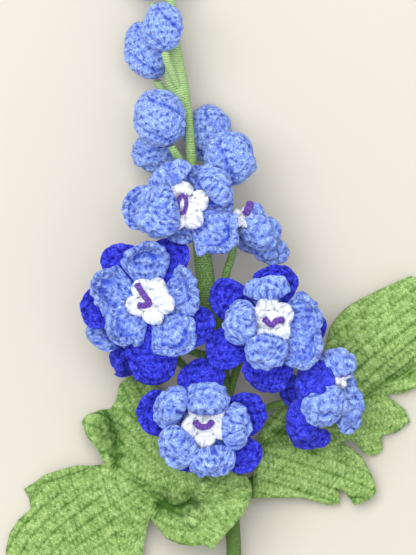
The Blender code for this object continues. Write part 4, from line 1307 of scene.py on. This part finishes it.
class SPIKE_OT_stage(bpy.types.Operator):
    """Lay the floor, the lights and the camera"""

    bl_idname = "spike.stage"
    bl_label = "Stage"

    def execute(self, context):
        bm = bmesh.new()
        bmesh.ops.create_grid(bm, x_segments=1, y_segments=1, size=FLOOR_SIZE)
        mesh = bpy.data.meshes.new("floor")
        bm.to_mesh(mesh)
        bm.free()
        mesh.materials.append(floor_material())
        floor = put("floor", mesh)
        for name, place, size, power in LIGHTS:
            light = bpy.data.lights.new(name, "AREA")
            light.size = size
            light.energy = power
            lamp = put(name, light)
            lamp.location = place
            lamp.rotation_euler = (-Vector(place)).to_track_quat("-Z", "Y").to_euler()
        world = bpy.data.worlds.new("studio")
        world.use_nodes = True
        backdrop = world.node_tree.nodes["Background"]
        backdrop.inputs["Color"].default_value = (*linear("f4f6ff"), 1)
        backdrop.inputs["Strength"].default_value = WORLD_LIGHT
        context.scene.world = world
        context.scene.view_settings.view_transform = "Standard"
        lens = bpy.data.cameras.new("camera")
        lens.sensor_fit = "VERTICAL"
        lens.sensor_height = SENSOR
        lens.lens = SENSOR * (CAMERA_HEIGHT - SUBJECT_HEIGHT) / (PICTURE_HEIGHT * PIXEL)
        lens.clip_end = VIEW_END
        camera = put("camera", lens)
        camera.location = (-MIDDLE[0] * MM, -MIDDLE[1] * MM, CAMERA_HEIGHT * MM)
        context.scene.camera = camera
        return {"FINISHED"}


class SPIKE_OT_stem(bpy.types.Operator):
    """Wind the stem and its pedicels with thread"""

    bl_idname = "spike.stem"
    bl_label = "Stem"

    def execute(self, context):
        make_stem()
        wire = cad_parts["stem_wire"].data
        wire.materials.clear()
        wire.materials.append(wire_material())
        return {"FINISHED"}


class SPIKE_OT_leaves(bpy.types.Operator):
    """Crochet the leaves"""

    bl_idname = "spike.leaves"
    bl_label = "Leaves"

    def execute(self, context):
        for k, name in enumerate(LEAVES):
            make_leaf(name, 200 + k)
        return {"FINISHED"}


class SPIKE_OT_buds(bpy.types.Operator):
    """Crochet the stuffed buds"""

    bl_idname = "spike.buds"
    bl_label = "Buds"

    def execute(self, context):
        for k, name in enumerate(BUDS):
            make_bud(name, 300 + k)
        return {"FINISHED"}


class SPIKE_OT_blooms(bpy.types.Operator):
    """Crochet the blooms"""

    bl_idname = "spike.blooms"
    bl_label = "Blooms"

    def execute(self, context):
        for k, name in enumerate(BLOOMS):
            make_bloom(name, 400 + 10 * k)
        return {"FINISHED"}


class SPIKE_PT_panel(bpy.types.Panel):
    """Lists the spike's settings and its pieces."""

    bl_label = "Delphinium spike"
    bl_idname = "SPIKE_PT_panel"
    bl_space_type = "VIEW_3D"
    bl_region_type = "UI"
    bl_category = "Spike"

    def draw(self, context):
        for group in (context.scene.spike_yarn, context.scene.spike_colours):
            for key in group.__annotations__:
                self.layout.prop(group, key)
        for operator in OPERATORS:
            self.layout.operator(operator.bl_idname)


OPERATORS = (SPIKE_OT_stage, SPIKE_OT_stem, SPIKE_OT_leaves, SPIKE_OT_buds, SPIKE_OT_blooms)
CLASSES = (SPIKE_PG_yarn, SPIKE_PG_colours, *OPERATORS, SPIKE_PT_panel)


def register():
    """Add the classes and the scene's settings."""
    for item in CLASSES:
        bpy.utils.register_class(item)
    bpy.types.Scene.spike_yarn = bpy.props.PointerProperty(type=SPIKE_PG_yarn)
    bpy.types.Scene.spike_colours = bpy.props.PointerProperty(type=SPIKE_PG_colours)


def unregister():
    """Take them away again."""
    del bpy.types.Scene.spike_yarn
    del bpy.types.Scene.spike_colours
    for item in reversed(CLASSES):
        bpy.utils.unregister_class(item)


def main():
    """Make every piece and the stage."""
    register()
    for operator in OPERATORS:
        group, name = operator.bl_idname.split(".")
        getattr(getattr(bpy.ops, group), name)()
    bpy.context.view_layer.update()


if __name__ == "__main__":
    main()
